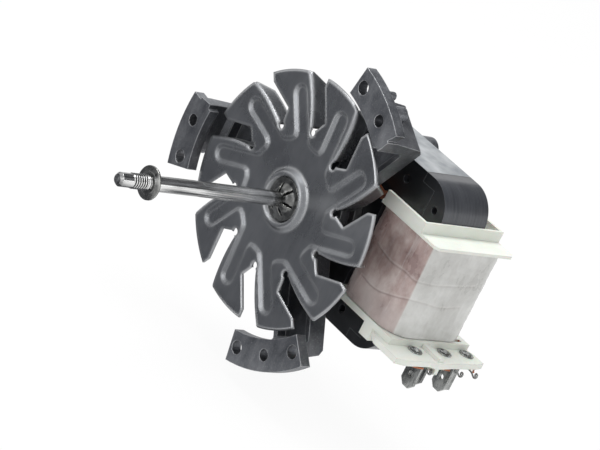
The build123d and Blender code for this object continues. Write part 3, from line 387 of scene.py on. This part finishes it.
def shaft_material():
    """Ground rod with fine turning marks round it, and long dark and light streaks along it, partly grinding
    marks and partly painted reflections.
    """
    s = Shader("ground_steel")
    along = s.noise(520, 4, 0.6, (1, 0.02, 1))
    rings = s.noise(900, 3, 0.6, (0.03, 1, 0.03))
    cloud = s.noise(120, 3, 0.6, (1, 0.3, 1))
    both = s.math("ADD", s.math("MULTIPLY", along, 0.55), s.math("MULTIPLY", cloud, 0.45))
    # Streaks from near black to near white: partly grinding marks, partly painted reflections.
    tone = s.ramp(
        both,
        [(0.40, (0.09, 0.091, 0.093)), (0.5, (0.33, 0.333, 0.335)), (0.60, (0.80, 0.80, 0.795))],
    )
    soft = s.soft_edges(0.00015)
    # Edges painted lighter, a painted highlight.
    tone = s.mix(s.math("MULTIPLY", s.edge_mask(soft, 0.02, 0.2), 0.6), tone, (0.70, 0.70, 0.69))
    s.set(
        # Thread roots painted near black: painted shade in the thread's grooves.
        Base_Color=s.mix(s.span(s.mark("groove"), 0.1, 0.6, 0.0, 1.0), tone, (0.012, 0.012, 0.013)),
        Metallic=0.95,
        Roughness=s.span(both, 0.35, 0.65, 0.10, 0.18),
        Normal=s.bump(rings, 0.00001, 0.5, soft),
    )
    return s.mat


mats = {
    "cast_aluminium": cast_material(),
    "core_steel": core_material(),
    "copper": plain("copper", (0.30, 0.10, 0.055), (0.48, 0.19, 0.10), 0.9, 0.35, 2500, 0.00003),
    "bobbin_plastic": bobbin_material(),
    "coil_tape": tape_material(),
    "tinned_steel": worn_and_edge_lit("tinned_steel", (0.13, 0.134, 0.134), (0.46, 0.47, 0.46), (0.85, 0.85, 0.83),
                         0.9, 0.26, 500, 0.00006, 260, 0.0002, (1, 1, 0.2)),
    "zinc_steel": worn_and_edge_lit("zinc_steel", (0.065, 0.066, 0.067), (0.26, 0.262, 0.255), (0.80, 0.80, 0.76),
                       0.95, 0.24, 420, 0.00002, 260, 0.0002),
    "bearing_bronze": worn_and_edge_lit("bearing_bronze", (0.18, 0.12, 0.06), (0.34, 0.23, 0.12), (0.6, 0.42, 0.22),
                           0.9, 0.45, 1500, 0.00004, 300, 0.0002),
    "spring_steel": worn_and_edge_lit("spring_steel", (0.10, 0.105, 0.11), (0.22, 0.225, 0.23), (0.6, 0.6, 0.6),
                         0.9, 0.34, 1200, 0.00003, 300, 0.00015),
    "felt": plain("felt", (0.50, 0.45, 0.34), (0.68, 0.62, 0.50), 0.0, 0.95, 4000, 0.0002),
    "ground_steel": shaft_material(),
    "rotor_aluminium": worn_and_edge_lit("rotor_aluminium", (0.22, 0.225, 0.23), (0.42, 0.425, 0.43), (0.7, 0.7, 0.7),
                            0.9, 0.42, 700, 0.00008, 150, 0.0003),
    "turned_steel": worn_and_edge_lit("turned_steel", (0.12, 0.122, 0.125), (0.26, 0.262, 0.265), (0.65, 0.65, 0.64),
                         0.9, 0.34, 1500, 0.00003, 300, 0.0002),
    "fibre": plain("fibre", (0.38, 0.22, 0.11), (0.52, 0.33, 0.18), 0.0, 0.7, 2500, 0.00004),
    "fan_sheet": fan_material(),
}
slot_of = {s["node"]: s["material_slot"] for s in frame["record"]["subparts"]}
for name, ob in nodes.items():
    ob.data.materials.clear()
    ob.data.materials.append(mats[slot_of[name]])

# Camera, as fitted to the photo
CAM_RIGHT = Vector((0.554596, 0.721566, 0.414445))
CAM_DOWN = Vector((0.524060, 0.084002, -0.847529))
CAM_FORWARD = Vector((-0.646362, 0.687230, -0.331557))
CAM_PLACE = Vector((0.626383, -0.650747, 0.312880))
cam_data = bpy.data.cameras.new("camera")
cam_data.sensor_width = 36.0
cam_data.lens = 180.0
cam_data.clip_start = 0.05
cam_data.clip_end = 20.0
cam = bpy.data.objects.new("camera", cam_data)
scene.collection.objects.link(cam)
up, back = -CAM_DOWN, -CAM_FORWARD
cam.matrix_world = Matrix(
    (
        (CAM_RIGHT.x, up.x, back.x, CAM_PLACE.x),
        (CAM_RIGHT.y, up.y, back.y, CAM_PLACE.y),
        (CAM_RIGHT.z, up.z, back.z, CAM_PLACE.z),
        (0, 0, 0, 1),
    )
)
scene.camera = cam

# Detailed pieces, in millimetres until they are turned into meshes
SHARP_ANGLE = 38


def clamp(value):
    """The value, kept between 0 and 1."""
    return min(1.0, max(0.0, value))


def smooth_step(value, low, high):
    """0 below low, 1 above high, smooth between."""
    t = clamp((value - low) / (high - low))
    return t * t * (3 - 2 * t)


def bell(value, centre, width):
    """1 at the centre, falling to 0 on both sides."""
    return math.exp(-((value - centre) / width) ** 2)


def mesh_piece(name, verts, faces, body, slot_name, *stand_for):
    """A smooth mesh made from points in millimetres, riding on a body."""
    data = bpy.data.meshes.new(name)
    data.from_pydata([tuple(c * MM for c in v) for v in verts], [], faces)
    data.update()
    bm = bmesh.new()
    bm.from_mesh(data)
    bmesh.ops.recalc_face_normals(bm, faces=bm.faces)
    bm.to_mesh(data)
    bm.free()
    for poly in data.polygons:
        poly.use_smooth = True
    data.set_sharp_from_angle(angle=math.radians(SHARP_ANGLE))
    ob = bpy.data.objects.new(name, data)
    scene.collection.objects.link(ob)
    data.materials.append(mats[slot_name])
    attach(ob, body)
    if stand_for:
        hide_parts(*stand_for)
    return ob


def rings(count, sides, point, closed_ends=True):
    """Quads between `count` loops of `sides` points; point(i, k) gives each point."""
    verts = [point(i, k) for i in range(count) for k in range(sides)]
    faces = []
    for i in range(count - 1):
        for k in range(sides):
            n = (k + 1) % sides
            faces.append((i * sides + k, i * sides + n, (i + 1) * sides + n, (i + 1) * sides + k))
    if closed_ends:
        faces.append(tuple(range(sides)))
        faces.append(tuple((count - 1) * sides + k for k in reversed(range(sides))))
    return verts, faces


def spun(name, profile, sides, body, slot_name, stand_for=(), centre=(0, 0), axis="Y"):
    """A ring-shaped piece from a closed (radius, position) profile about a line along Y or Z."""

    def point(i, k):
        r, p = profile[i % len(profile)]
        t = 2 * math.pi * k / sides
        if axis == "Y":
            return (centre[0] + r * math.cos(t), p, centre[1] + r * math.sin(t))
        return (centre[0] + r * math.cos(t), centre[1] + r * math.sin(t), p)

    verts = [point(i, k) for i in range(len(profile)) for k in range(sides)]
    faces = []
    for i in range(len(profile)):
        j = (i + 1) % len(profile)
        for k in range(sides):
            n = (k + 1) % sides
            faces.append((i * sides + k, i * sides + n, j * sides + n, j * sides + k))
    return mesh_piece(name, verts, faces, body, slot_name, *stand_for)


# Shaft with its clip groove, relief and a rolled screw thread at the tip
SHAFT_R = 2.5
TIP_Y = -66.4
END_Y = 58.6
THREAD_START = -61.2
THREAD_END = -55.4
THREAD_PITCH = 0.9
THREAD_DEPTH = 0.5
THREAD_ROOT = 0.15
THREAD_FLANK = 0.6
THREAD_RUN_IN = 0.3
THREAD_RUN_OUT = 0.6
THREAD_FADE = 0.8
DOG_R = 2.28
SHAFT_SIDES = 72
TIP_CHAMFER = 0.8
TIP_R = 1.6
# Start, end and radius of the two cuts
RELIEF = (-54.85, -54.25, 2.25)
CLIP_GROOVE = (-53.28, -52.68, 2.1)
CUT_WALL_HALF = 0.01
END_CHAMFER = 0.6
SHAFT_FINE_STEP = 0.06
SHAFT_FINE_STEPS = 200
SHAFT_FINE_END = RELIEF[0] - CUT_WALL_HALF
SHAFT_PLAIN_YS = (-50, -30, -10, 0, 10, 30, 50)


def shaft_radius(y, turn):
    """Radius of the shaft at a place along it and round it."""
    if y < TIP_Y + TIP_CHAMFER:
        return TIP_R + (y - TIP_Y) / TIP_CHAMFER * (DOG_R - TIP_R)
    if y < THREAD_START - THREAD_RUN_IN:
        return DOG_R
    for low, high, cut_r in (RELIEF, CLIP_GROOVE):
        if low < y < high:
            return cut_r
    if y > END_Y - END_CHAMFER:
        return SHAFT_R - (y - END_Y + END_CHAMFER)
    if y < THREAD_END + THREAD_RUN_OUT:
        phase = (y / THREAD_PITCH - turn / (2 * math.pi)) % 1.0
        ridge = clamp((abs(2 * phase - 1) - THREAD_ROOT) / THREAD_FLANK)
        fade = clamp((THREAD_END + THREAD_RUN_OUT - y) / THREAD_FADE)
        start = clamp((y - THREAD_START + THREAD_RUN_IN) / (2 * THREAD_RUN_IN))
        top = DOG_R + (SHAFT_R - DOG_R) * start
        return top - THREAD_DEPTH * (1 - ridge) * fade * start
    return SHAFT_R


shaft_steps = [TIP_Y + SHAFT_FINE_STEP * i for i in range(SHAFT_FINE_STEPS)]
shaft_steps = [y for y in shaft_steps if y < SHAFT_FINE_END]
for cut_start, cut_end, _ in (RELIEF, CLIP_GROOVE):
    for wall in (cut_start, cut_end):
        shaft_steps += [wall - CUT_WALL_HALF, wall + CUT_WALL_HALF]
shaft_steps += [*SHAFT_PLAIN_YS, END_Y - END_CHAMFER, END_Y - END_CHAMFER / 2, END_Y]


def shaft_point(i, k):
    """Point k of the shaft's loop at step i."""
    turn = 2 * math.pi * k / SHAFT_SIDES
    r = shaft_radius(shaft_steps[i], turn)
    return (r * math.cos(turn), shaft_steps[i], r * math.sin(turn))


verts, faces = rings(len(shaft_steps), SHAFT_SIDES, shaft_point)
shaft = mesh_piece("shaft_threaded", verts, faces, "rotor", "ground_steel", "shaft")
# Depth below the thread's crest, which the shaft material uses to paint shade in the thread's grooves.
groove = shaft.data.attributes.new("groove", "FLOAT", "POINT")
groove.data.foreach_set(
    "value",
    [
        clamp((SHAFT_R - math.hypot(x, z)) / THREAD_DEPTH) if THREAD_START < y < THREAD_END else 0.0
        for x, y, z in verts
    ],
)

# Stop washer as (radius, place along the shaft): a raised ring round its bore and a rounded rim
WASHER_SIDES = 64
WASHER_PROFILE = (
    (2.53, -54.32),
    (3.55, -54.32),
    (3.8, -54.12),
    (5.2, -54.1),
    (5.45, -53.92),
    (5.45, -53.42),
    (5.25, -53.3),
    (2.53, -53.3),
)
spun("stop_washer_ringed", WASHER_PROFILE, WASHER_SIDES, "rotor", slot_of["stop_washer"], ("stop_washer",))

# Push nut: flat rim, domed ring and six spring petals that bite on the shaft
NUT_SEAT = 3.2
NUT_R = 7.0
NUT_BORE = 2.52
NUT_SHEET = 0.5
NUT_PETALS = 6
NUT_DISH = 1.45
NUT_DISH_R = 5.9
NUT_DISH_RUN = 3.3
NUT_BOW = 0.24
NUT_BOW_R = 5.2
NUT_BOW_RUN = 1.5
NUT_SLOT_R = 5.3
NUT_SLOT_HALF = 0.52
NUT_RADIAL = 22
NUT_TURN = 132


def across_petal(turn):
    """How far across its petal a direction lies, 0 to 1."""
    return (turn * NUT_PETALS / (2 * math.pi)) % 1.0


def nut_height(r, turn):
    """How far the nut stands in front of its seat."""
    dish = 0.0
    if r < NUT_DISH_R:
        rise = min(1.0, (NUT_DISH_R - r) / NUT_DISH_RUN)
        dish = NUT_DISH * rise * rise * (3 - 2 * rise)
    if r < NUT_BOW_R:
        bow = math.cos((across_petal(turn) - 0.5) * math.pi)
        dish += NUT_BOW * bow * min(1.0, (NUT_BOW_R - r) / NUT_BOW_RUN)
    return dish


def nut_gap(r, turn):
    """True inside one of the radial slots."""
    petal = across_petal(turn)
    off = min(petal, 1 - petal) * 2 * math.pi / NUT_PETALS * r
    return r < NUT_SLOT_R and off < NUT_SLOT_HALF


nut_verts, nut_faces, nut_index = [], [], {}
for side in (0, 1):
    for i in range(NUT_RADIAL + 1):
        r = NUT_BORE + (NUT_R - NUT_BORE) * i / NUT_RADIAL
        for k in range(NUT_TURN):
            t = 2 * math.pi * k / NUT_TURN
            front = NUT_SEAT - NUT_SHEET - nut_height(r, t)
            nut_index[side, i, k] = len(nut_verts)
            nut_verts.append((r * math.cos(t), front + side * NUT_SHEET, r * math.sin(t)))
keep = {}
for i in range(NUT_RADIAL):
    r = NUT_BORE + (NUT_R - NUT_BORE) * (i + 0.5) / NUT_RADIAL
    for k in range(NUT_TURN):
        keep[i, k] = not nut_gap(r, 2 * math.pi * (k + 0.5) / NUT_TURN)
for (i, k), kept in keep.items():
    if not kept:
        continue
    n = (k + 1) % NUT_TURN
    nut_faces.append([nut_index[0, i, k], nut_index[0, i, n], nut_index[0, i + 1, n], nut_index[0, i + 1, k]])
    nut_faces.append([nut_index[1, i, k], nut_index[1, i + 1, k], nut_index[1, i + 1, n], nut_index[1, i, n]])
    borders = (
        (keep.get((i - 1, k), False), (i, k), (i, n)),
        (keep.get((i + 1, k), False), (i + 1, n), (i + 1, k)),
        (keep.get((i, (k - 1) % NUT_TURN), False), (i + 1, k), (i, k)),
        (keep.get((i, n), False), (i, n), (i + 1, n)),
    )
    for joined, a, b in borders:
        if not joined:
            nut_faces.append([nut_index[0, a[0], a[1]], nut_index[0, b[0], b[1]],
                              nut_index[1, b[0], b[1]], nut_index[1, a[0], a[1]]])
mesh_piece("push_nut_petals", nut_verts, nut_faces, "rotor", slot_of["fan_push_nut"], "fan_push_nut")

# Eyelets with rolled flares
EYELET_X = 57.7
EYELET_SIDES = 40
EYELET_YS = (26.6, 39.9, 50.2)
PLATE_TOP_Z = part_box("terminal_eyelets")[1][2] / MM
FLARE_LOW_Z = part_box("terminal_eyelets")[0][2] / MM
EYELET_PROFILE = (
    (1.38, PLATE_TOP_Z - 1.0),
    (1.78, PLATE_TOP_Z - 0.1),
    (1.9, PLATE_TOP_Z),
    (2.35, PLATE_TOP_Z),
    (2.55, PLATE_TOP_Z - 0.12),
    (2.55, PLATE_TOP_Z - 0.36),
    (2.0, PLATE_TOP_Z - 0.40),
    (1.88, PLATE_TOP_Z - 0.9),
    (1.88, FLARE_LOW_Z + 0.42),
    (2.25, FLARE_LOW_Z + 0.38),
    (2.36, FLARE_LOW_Z + 0.16),
    (2.10, FLARE_LOW_Z + 0.02),
    (1.72, FLARE_LOW_Z + 0.04),
    (1.48, FLARE_LOW_Z + 0.22),
    (1.38, FLARE_LOW_Z + 0.60),
)
for number, eyelet_y in enumerate(EYELET_YS):
    spun(f"eyelet_{number + 1}", EYELET_PROFILE, EYELET_SIDES, "stator", "tinned_steel",
         ("terminal_eyelets",), (EYELET_X, eyelet_y), "Z")

# Tape wound round the coil, with the folds seen at its front right corner
TAPE_LEFT, TAPE_RIGHT, TAPE_FRONT, TAPE_BACK, TAPE_R = 23.0, 54.3, 17.3, 51.9, 8.5
TAPE_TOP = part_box("coil_tape")[1][2] / MM
tape_wide = TAPE_RIGHT - TAPE_LEFT - 2 * TAPE_R
tape_deep = TAPE_BACK - TAPE_FRONT - 2 * TAPE_R
tape_bend = TAPE_R * math.pi / 2
TAPE_LENGTH = 2 * (tape_wide + tape_deep) + 4 * tape_bend
TAPE_DENT = 0.20
TAPE_DENT_LEAST = 0.01
TAPE_DENT_MOST = 0.45
# Where the tape's outer end lies, how it leans, where the doubled stretch ends and how proud it is
OVERLAP_S = 21.0
OVERLAP_LEAN = 0.02
OVERLAP_END = 70
OVERLAP_RISE = 0.06
# Each fold as (distance round the coil, height) points. Distance 0 is the front left corner, and the
# lower fold starts up to FOLD_WRAP before it
FOLD_WRAP = 5
FOLDS = (
    ((0.0, 4.6), (8.0, 3.2), (15.8, 3.8), (20.0, 3.0), (23.2, 3.5), (29.0, 3.8), (37.8, 4.2), (44.5, 4.8)),
    ((-4.0, -6.8), (0.2, -7.2), (7.8, -7.5), (16.5, -4.8),
     (21.8, -3.2), (26.5, -3.0), (33.8, -4.0), (42.5, -3.2)),
)


def tape_place(s, inward):
    """Point on the tape's outline at a distance s from the front left, pushed in by `inward`."""
    s %= TAPE_LENGTH
    r = TAPE_R - inward
    corners = (
        (tape_wide, TAPE_RIGHT - TAPE_R, TAPE_FRONT + TAPE_R, -90),
        (tape_deep, TAPE_RIGHT - TAPE_R, TAPE_BACK - TAPE_R, 0),
        (tape_wide, TAPE_LEFT + TAPE_R, TAPE_BACK - TAPE_R, 90),
        (tape_deep, TAPE_LEFT + TAPE_R, TAPE_FRONT + TAPE_R, 180),
    )
    for straight, cx, cy, angle in corners:
        a = math.radians(angle)
        if s < straight:
            back = straight - s
            return (cx + r * math.cos(a) + back * math.sin(a), cy + r * math.sin(a) - back * math.cos(a))
        s -= straight
        if s < tape_bend:
            a += s / TAPE_R
            return (cx + r * math.cos(a), cy + r * math.sin(a))
        s -= tape_bend
    return (TAPE_LEFT + TAPE_R, TAPE_FRONT + inward)


def fold_height(fold, s):
    """Height of a fold line at s, or None away from it."""
    if s > TAPE_LENGTH - FOLD_WRAP:
        s -= TAPE_LENGTH
    for at in range(len(fold) - 1):
        (s0, z0), (s1, z1) = fold[at], fold[at + 1]
        if s0 <= s <= s1:
            before, after = fold[max(at - 1, 0)], fold[min(at + 2, len(fold) - 1)]
            t = (s - s0) / (s1 - s0)
            slope0 = (z1 - before[1]) / (s1 - before[0]) * (s1 - s0)
            slope1 = (after[1] - z0) / (after[0] - s0) * (s1 - s0)
            return (
                (2 * t**3 - 3 * t**2 + 1) * z0
                + (t**3 - 2 * t**2 + t) * slope0
                + (3 * t**2 - 2 * t**3) * z1
                + (t**3 - t**2) * slope1
            )
    return None


def overlap_edge(z):
    """Distance round the coil at which the tape's outer end lies at height z."""
    return OVERLAP_S - OVERLAP_LEAN * z


def tape_dent(s, z):
    """How deep the tape lies below its outermost skin, in millimetres."""
    dent = TAPE_DENT
    # Shallow ripples
    dent += 0.05 * math.sin(s * 0.9 + 0.7 * z) + 0.04 * math.sin(2.3 * z + 0.35 * s)
    dent += 0.03 * math.sin(3.1 * s + 1.3) * math.cos(0.8 * z)
    for fold in FOLDS:
        mid = fold_height(fold, s)
        if mid is None:
            continue
        # A ridge just above the fold's line and a valley just below it
        dent -= 0.06 * bell(z - mid, 0.35, 0.4)
        dent += 0.12 * bell(z - mid, -0.45, 0.45)
    if overlap_edge(z) < s < OVERLAP_END:
        dent -= OVERLAP_RISE
    return min(TAPE_DENT_MOST, max(TAPE_DENT_LEAST, dent))


TAPE_COLUMNS = 420
TAPE_ROWS = 96


def tape_point(i, k):
    """Point of the tape in row i, column k."""
    z = -TAPE_TOP + 2 * TAPE_TOP * i / (TAPE_ROWS - 1)
    s = TAPE_LENGTH * k / TAPE_COLUMNS
    x, y = tape_place(s, tape_dent(s, z))
    return (x, y, z)


verts, faces = rings(TAPE_ROWS, TAPE_COLUMNS, tape_point, closed_ends=False)
tape = mesh_piece("coil_wrap", verts, faces, "stator", "coil_tape", "coil_tape")


def tape_marks(s, z):
    """How far a place is past the overlap, in a fold's painted shadow, on a fold's ridge or the tape's outer
    end where a highlight is painted, and low down.
    """
    edge = overlap_edge(z)
    past = smooth_step(s, edge - 0.35, edge + 0.15) * (1 - smooth_step(s, OVERLAP_END, OVERLAP_END + 1))
    fold = ridge = 0.0
    for line in FOLDS:
        mid = fold_height(line, s)
        if mid is None:
            continue
        # The folds are fainter towards the front left corner and behind it
        fade = smooth_step(s, -6, 4) if s <= TAPE_LENGTH - FOLD_WRAP else 0.3
        fold = max(fold, fade * bell(z - mid, -0.30, 0.28))
        ridge = max(ridge, fade * bell(z - mid, 0.30, 0.25))
    # The tape's outer end gets a painted highlight too.
    ridge = max(ridge, 0.8 * bell(s - edge, 0.1, 0.2))
    low = smooth_step(-z, 2, 12)
    return past, fold * (1 - 0.55 * past), ridge, low


marks = [
    tape_marks(TAPE_LENGTH * k / TAPE_COLUMNS, -TAPE_TOP + 2 * TAPE_TOP * i / (TAPE_ROWS - 1))
    for i in range(TAPE_ROWS)
    for k in range(TAPE_COLUMNS)
]
for number, name in enumerate(TAPE_MARKS):
    layer = tape.data.attributes.new(name, "FLOAT", "POINT")
    layer.data.foreach_set("value", [mark[number] for mark in marks])


def wire(name, points, radius, body, slot_name, *stand_for):
    """A round wire that bends smoothly past the given points."""
    curve = bpy.data.curves.new(name, "CURVE")
    curve.dimensions = "3D"
    curve.bevel_depth = radius * MM
    curve.bevel_resolution = 4
    curve.resolution_u = 10
    curve.use_fill_caps = True
    line = curve.splines.new("NURBS")
    line.points.add(len(points) - 1)
    for p, q in zip(line.points, points):
        p.co = (*(c * MM for c in q), 1)
    line.use_endpoint_u = True
    line.order_u = 3
    ob = bpy.data.objects.new(name, curve)
    scene.collection.objects.link(ob)
    curve.materials.append(mats[slot_name])
    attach(ob, body)
    if stand_for:
        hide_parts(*stand_for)
    return ob


# Coil ends: out of their slots, under the plate and on to each terminal
LEAD_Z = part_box("winding_leads")[0][2] / MM + 0.35
LEAD_START_Z = -16.0
LEAD_WIRE_R = 0.33
# Start, bend and the terminal's Y of each
LEADS = (
    ((53.0, 24.4), (55.2, 23.6), 27.4),
    ((52.7, 38.8), (54.9, 36.9), 39.6),
    ((52.7, 49.6), (54.9, 53.0), 50.6),
)
for number, ((start_x, start_y), (bend_x, bend_y), end_y) in enumerate(LEADS):
    wire(
        f"coil_end_{number + 1}",
        (
            (start_x, start_y, LEAD_START_Z),
            (start_x, start_y, LEAD_Z + 1.4),
            (start_x + 0.3, start_y, LEAD_Z + 0.1),
            (bend_x, bend_y, LEAD_Z),
            (bend_x + 3.0, bend_y - 0.25, LEAD_Z),
            (bend_x + 6.0, bend_y + 0.3, LEAD_Z),
            (62.6, (bend_y + end_y) / 2 - 0.8, LEAD_Z + 0.1),
            (63.3, end_y, LEAD_Z + 0.3),
        ),
        LEAD_WIRE_R,
        "stator",
        "copper",
        "winding_leads",
    )

# Cut wire ends that curl up beside the terminals
CURL_R = 0.75
CURL_STEPS = 9
CURL_START = -2.4
CURL_SWEEP = 6.5
CURL_DRIFT = 0.12
CURL_WIRE_R = 0.29
CURLS = ((60.9, 30.9, 63.3), (61.2, 45.0, 63.4), (60.6, 51.6, 63.6))
for number, (root_x, curl_y, curl_x) in enumerate(CURLS):
    path = [(root_x, curl_y - 0.8, LEAD_Z - 0.2), (curl_x - 1.6, curl_y - 0.5, LEAD_Z - 0.3)]
    for step in range(CURL_STEPS + 1):
        turn = CURL_START + step * CURL_SWEEP / CURL_STEPS
        path.append((
            curl_x + CURL_R * math.cos(turn),
            curl_y + CURL_DRIFT * step,
            LEAD_Z - 0.9 + CURL_R * math.sin(turn),
        ))
    wire(f"wire_curl_{number + 1}", path, CURL_WIRE_R, "stator", "tinned_steel")

# Floor and light
low_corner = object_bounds()[0]
FLOOR_GAP = 0.004
floor_mesh = bpy.data.meshes.new("floor")
FLOOR_HALF = 3.0
floor_z = low_corner.z - FLOOR_GAP
floor_mesh.from_pydata(
    [(-FLOOR_HALF, -FLOOR_HALF, floor_z), (FLOOR_HALF, -FLOOR_HALF, floor_z),
     (FLOOR_HALF, FLOOR_HALF, floor_z), (-FLOOR_HALF, FLOOR_HALF, floor_z)],
    [],
    [(0, 1, 2, 3)],
)
floor = bpy.data.objects.new("floor", floor_mesh)
scene.collection.objects.link(floor)


def bare_tree(owner, output_kind):
    """An emptied node tree of a material or a world, and its output's surface socket."""
    owner.use_nodes = True
    tree = owner.node_tree
    tree.nodes.clear()
    return tree, tree.nodes.new(output_kind).inputs["Surface"]


def source(tree, kind, colour, strength=None):
    """The output of a plain shader node of one colour."""
    node = tree.nodes.new(kind)
    node.inputs["Color"].default_value = (*colour, 1)
    if strength is not None:
        node.inputs["Strength"].default_value = strength
    return node.outputs[0]


def mask_mix(tree, shaded, flat, share_of_flat):
    """Mixes a lit shader with a flat white one seen by camera, gloss and glass rays."""
    path = tree.nodes.new("ShaderNodeLightPath")
    top = None
    for ray in ("Is Camera Ray", "Is Glossy Ray", "Is Transmission Ray"):
        if top is None:
            top = path.outputs[ray]
            continue
        join = tree.nodes.new("ShaderNodeMath")
        join.operation = "MAXIMUM"
        tree.links.new(top, join.inputs[0])
        tree.links.new(path.outputs[ray], join.inputs[1])
        top = join.outputs[0]
    part = tree.nodes.new("ShaderNodeMath")
    part.operation = "MULTIPLY"
    part.inputs[1].default_value = share_of_flat
    tree.links.new(top, part.inputs[0])
    mix = tree.nodes.new("ShaderNodeMixShader")
    tree.links.new(part.outputs[0], mix.inputs["Fac"])
    tree.links.new(shaded, mix.inputs[1])
    tree.links.new(flat, mix.inputs[2])
    return mix.outputs[0]


FLOOR_WHITE_SHARE = 0.93
floor_mat = bpy.data.materials.new("floor_paper")
tree, surface = bare_tree(floor_mat, "ShaderNodeOutputMaterial")
lit = source(tree, "ShaderNodeBsdfDiffuse", (0.9, 0.9, 0.9))
flat = source(tree, "ShaderNodeEmission", (1, 1, 1), 1.0)
tree.links.new(mask_mix(tree, lit, flat, FLOOR_WHITE_SHARE), surface)
floor_mesh.materials.append(floor_mat)

# Grey cards, as in a product studio, for the flat and round metal faces to reflect
CARD_WAY = Vector((-0.685, -0.728, 0.0))
CARD_SIDE = Vector((0.728, -0.685, 0.0))
CARD_DISTANCE = 0.135
CARD_HALF = 0.078
CARD_TOP = 0.035
CARD_NEAR = 0.015
CARD_LIFT = 0.0006
CEILING_Z = 0.2
CEILING_X = (-0.2, 0.45)
CEILING_Y = (0.03, 0.5)


def card(name, corners, faces, tone):
    """A card that only glossy rays meet, so it lights nothing and throws no shadow."""
    mesh = bpy.data.meshes.new(name)
    mesh.from_pydata(corners, [], faces)
    ob = bpy.data.objects.new(name, mesh)
    scene.collection.objects.link(ob)
    ob.visible_camera = False
    ob.visible_diffuse = False
    ob.visible_shadow = False
    mat = bpy.data.materials.new(name)
    tree, surface = bare_tree(mat, "ShaderNodeOutputMaterial")
    tree.links.new(source(tree, "ShaderNodeEmission", tone), surface)
    mesh.materials.append(mat)


stand = []
for reach, height in (
    (CARD_NEAR, floor_z + CARD_LIFT),
    (CARD_DISTANCE, floor_z + CARD_LIFT),
    (CARD_DISTANCE, CARD_TOP),
):
    for side in (-1, 1):
        place = CARD_WAY * reach + CARD_SIDE * CARD_HALF * side
        stand.append((place.x, place.y, height))
card("front_card", stand, [(0, 1, 3, 2), (2, 3, 5, 4)], (0.24, 0.245, 0.26))
ceiling = [(x, y, CEILING_Z) for x in CEILING_X for y in CEILING_Y]
card("ceiling_card", ceiling, [(0, 1, 3, 2)], (0.07, 0.072, 0.078))

middle = Vector((0.01, 0.0, 0.0))


def lamp(name, toward, distance, size, power):
    """A soft box given by its direction in camera terms (right, up, back), aimed at the middle."""
    data = bpy.data.lights.new(name, "AREA")
    data.shape = "RECTANGLE"
    data.size, data.size_y = size
    data.energy = power
    ob = bpy.data.objects.new(name, data)
    scene.collection.objects.link(ob)
    way = (CAM_RIGHT * toward[0] + up * toward[1] + back * toward[2]).normalized()
    ob.location = middle + way * distance
    ob.rotation_mode = "QUATERNION"
    ob.rotation_quaternion = (middle - ob.location).to_track_quat("-Z", "Y")
    return ob


lamp("key", (0.35, 0.9, 0.12), 1.0, (0.7, 0.6), 9)
lamp("fill", (-0.75, 0.35, 0.7), 1.2, (0.8, 0.8), 4)
lamp("side", (0.9, -0.05, 0.4), 1.1, (0.5, 0.8), 2.2)

WORLD_STRENGTH = 0.5
world = bpy.data.worlds.new("world")
scene.world = world
tree, surface = bare_tree(world, "ShaderNodeOutputWorld")
lit = source(tree, "ShaderNodeBackground", (1, 1, 1), WORLD_STRENGTH)
seen = source(tree, "ShaderNodeBackground", (1, 1, 1), 1.0)
tree.links.new(mask_mix(tree, lit, seen, 1.0), surface)

scene.view_settings.view_transform = "Standard"
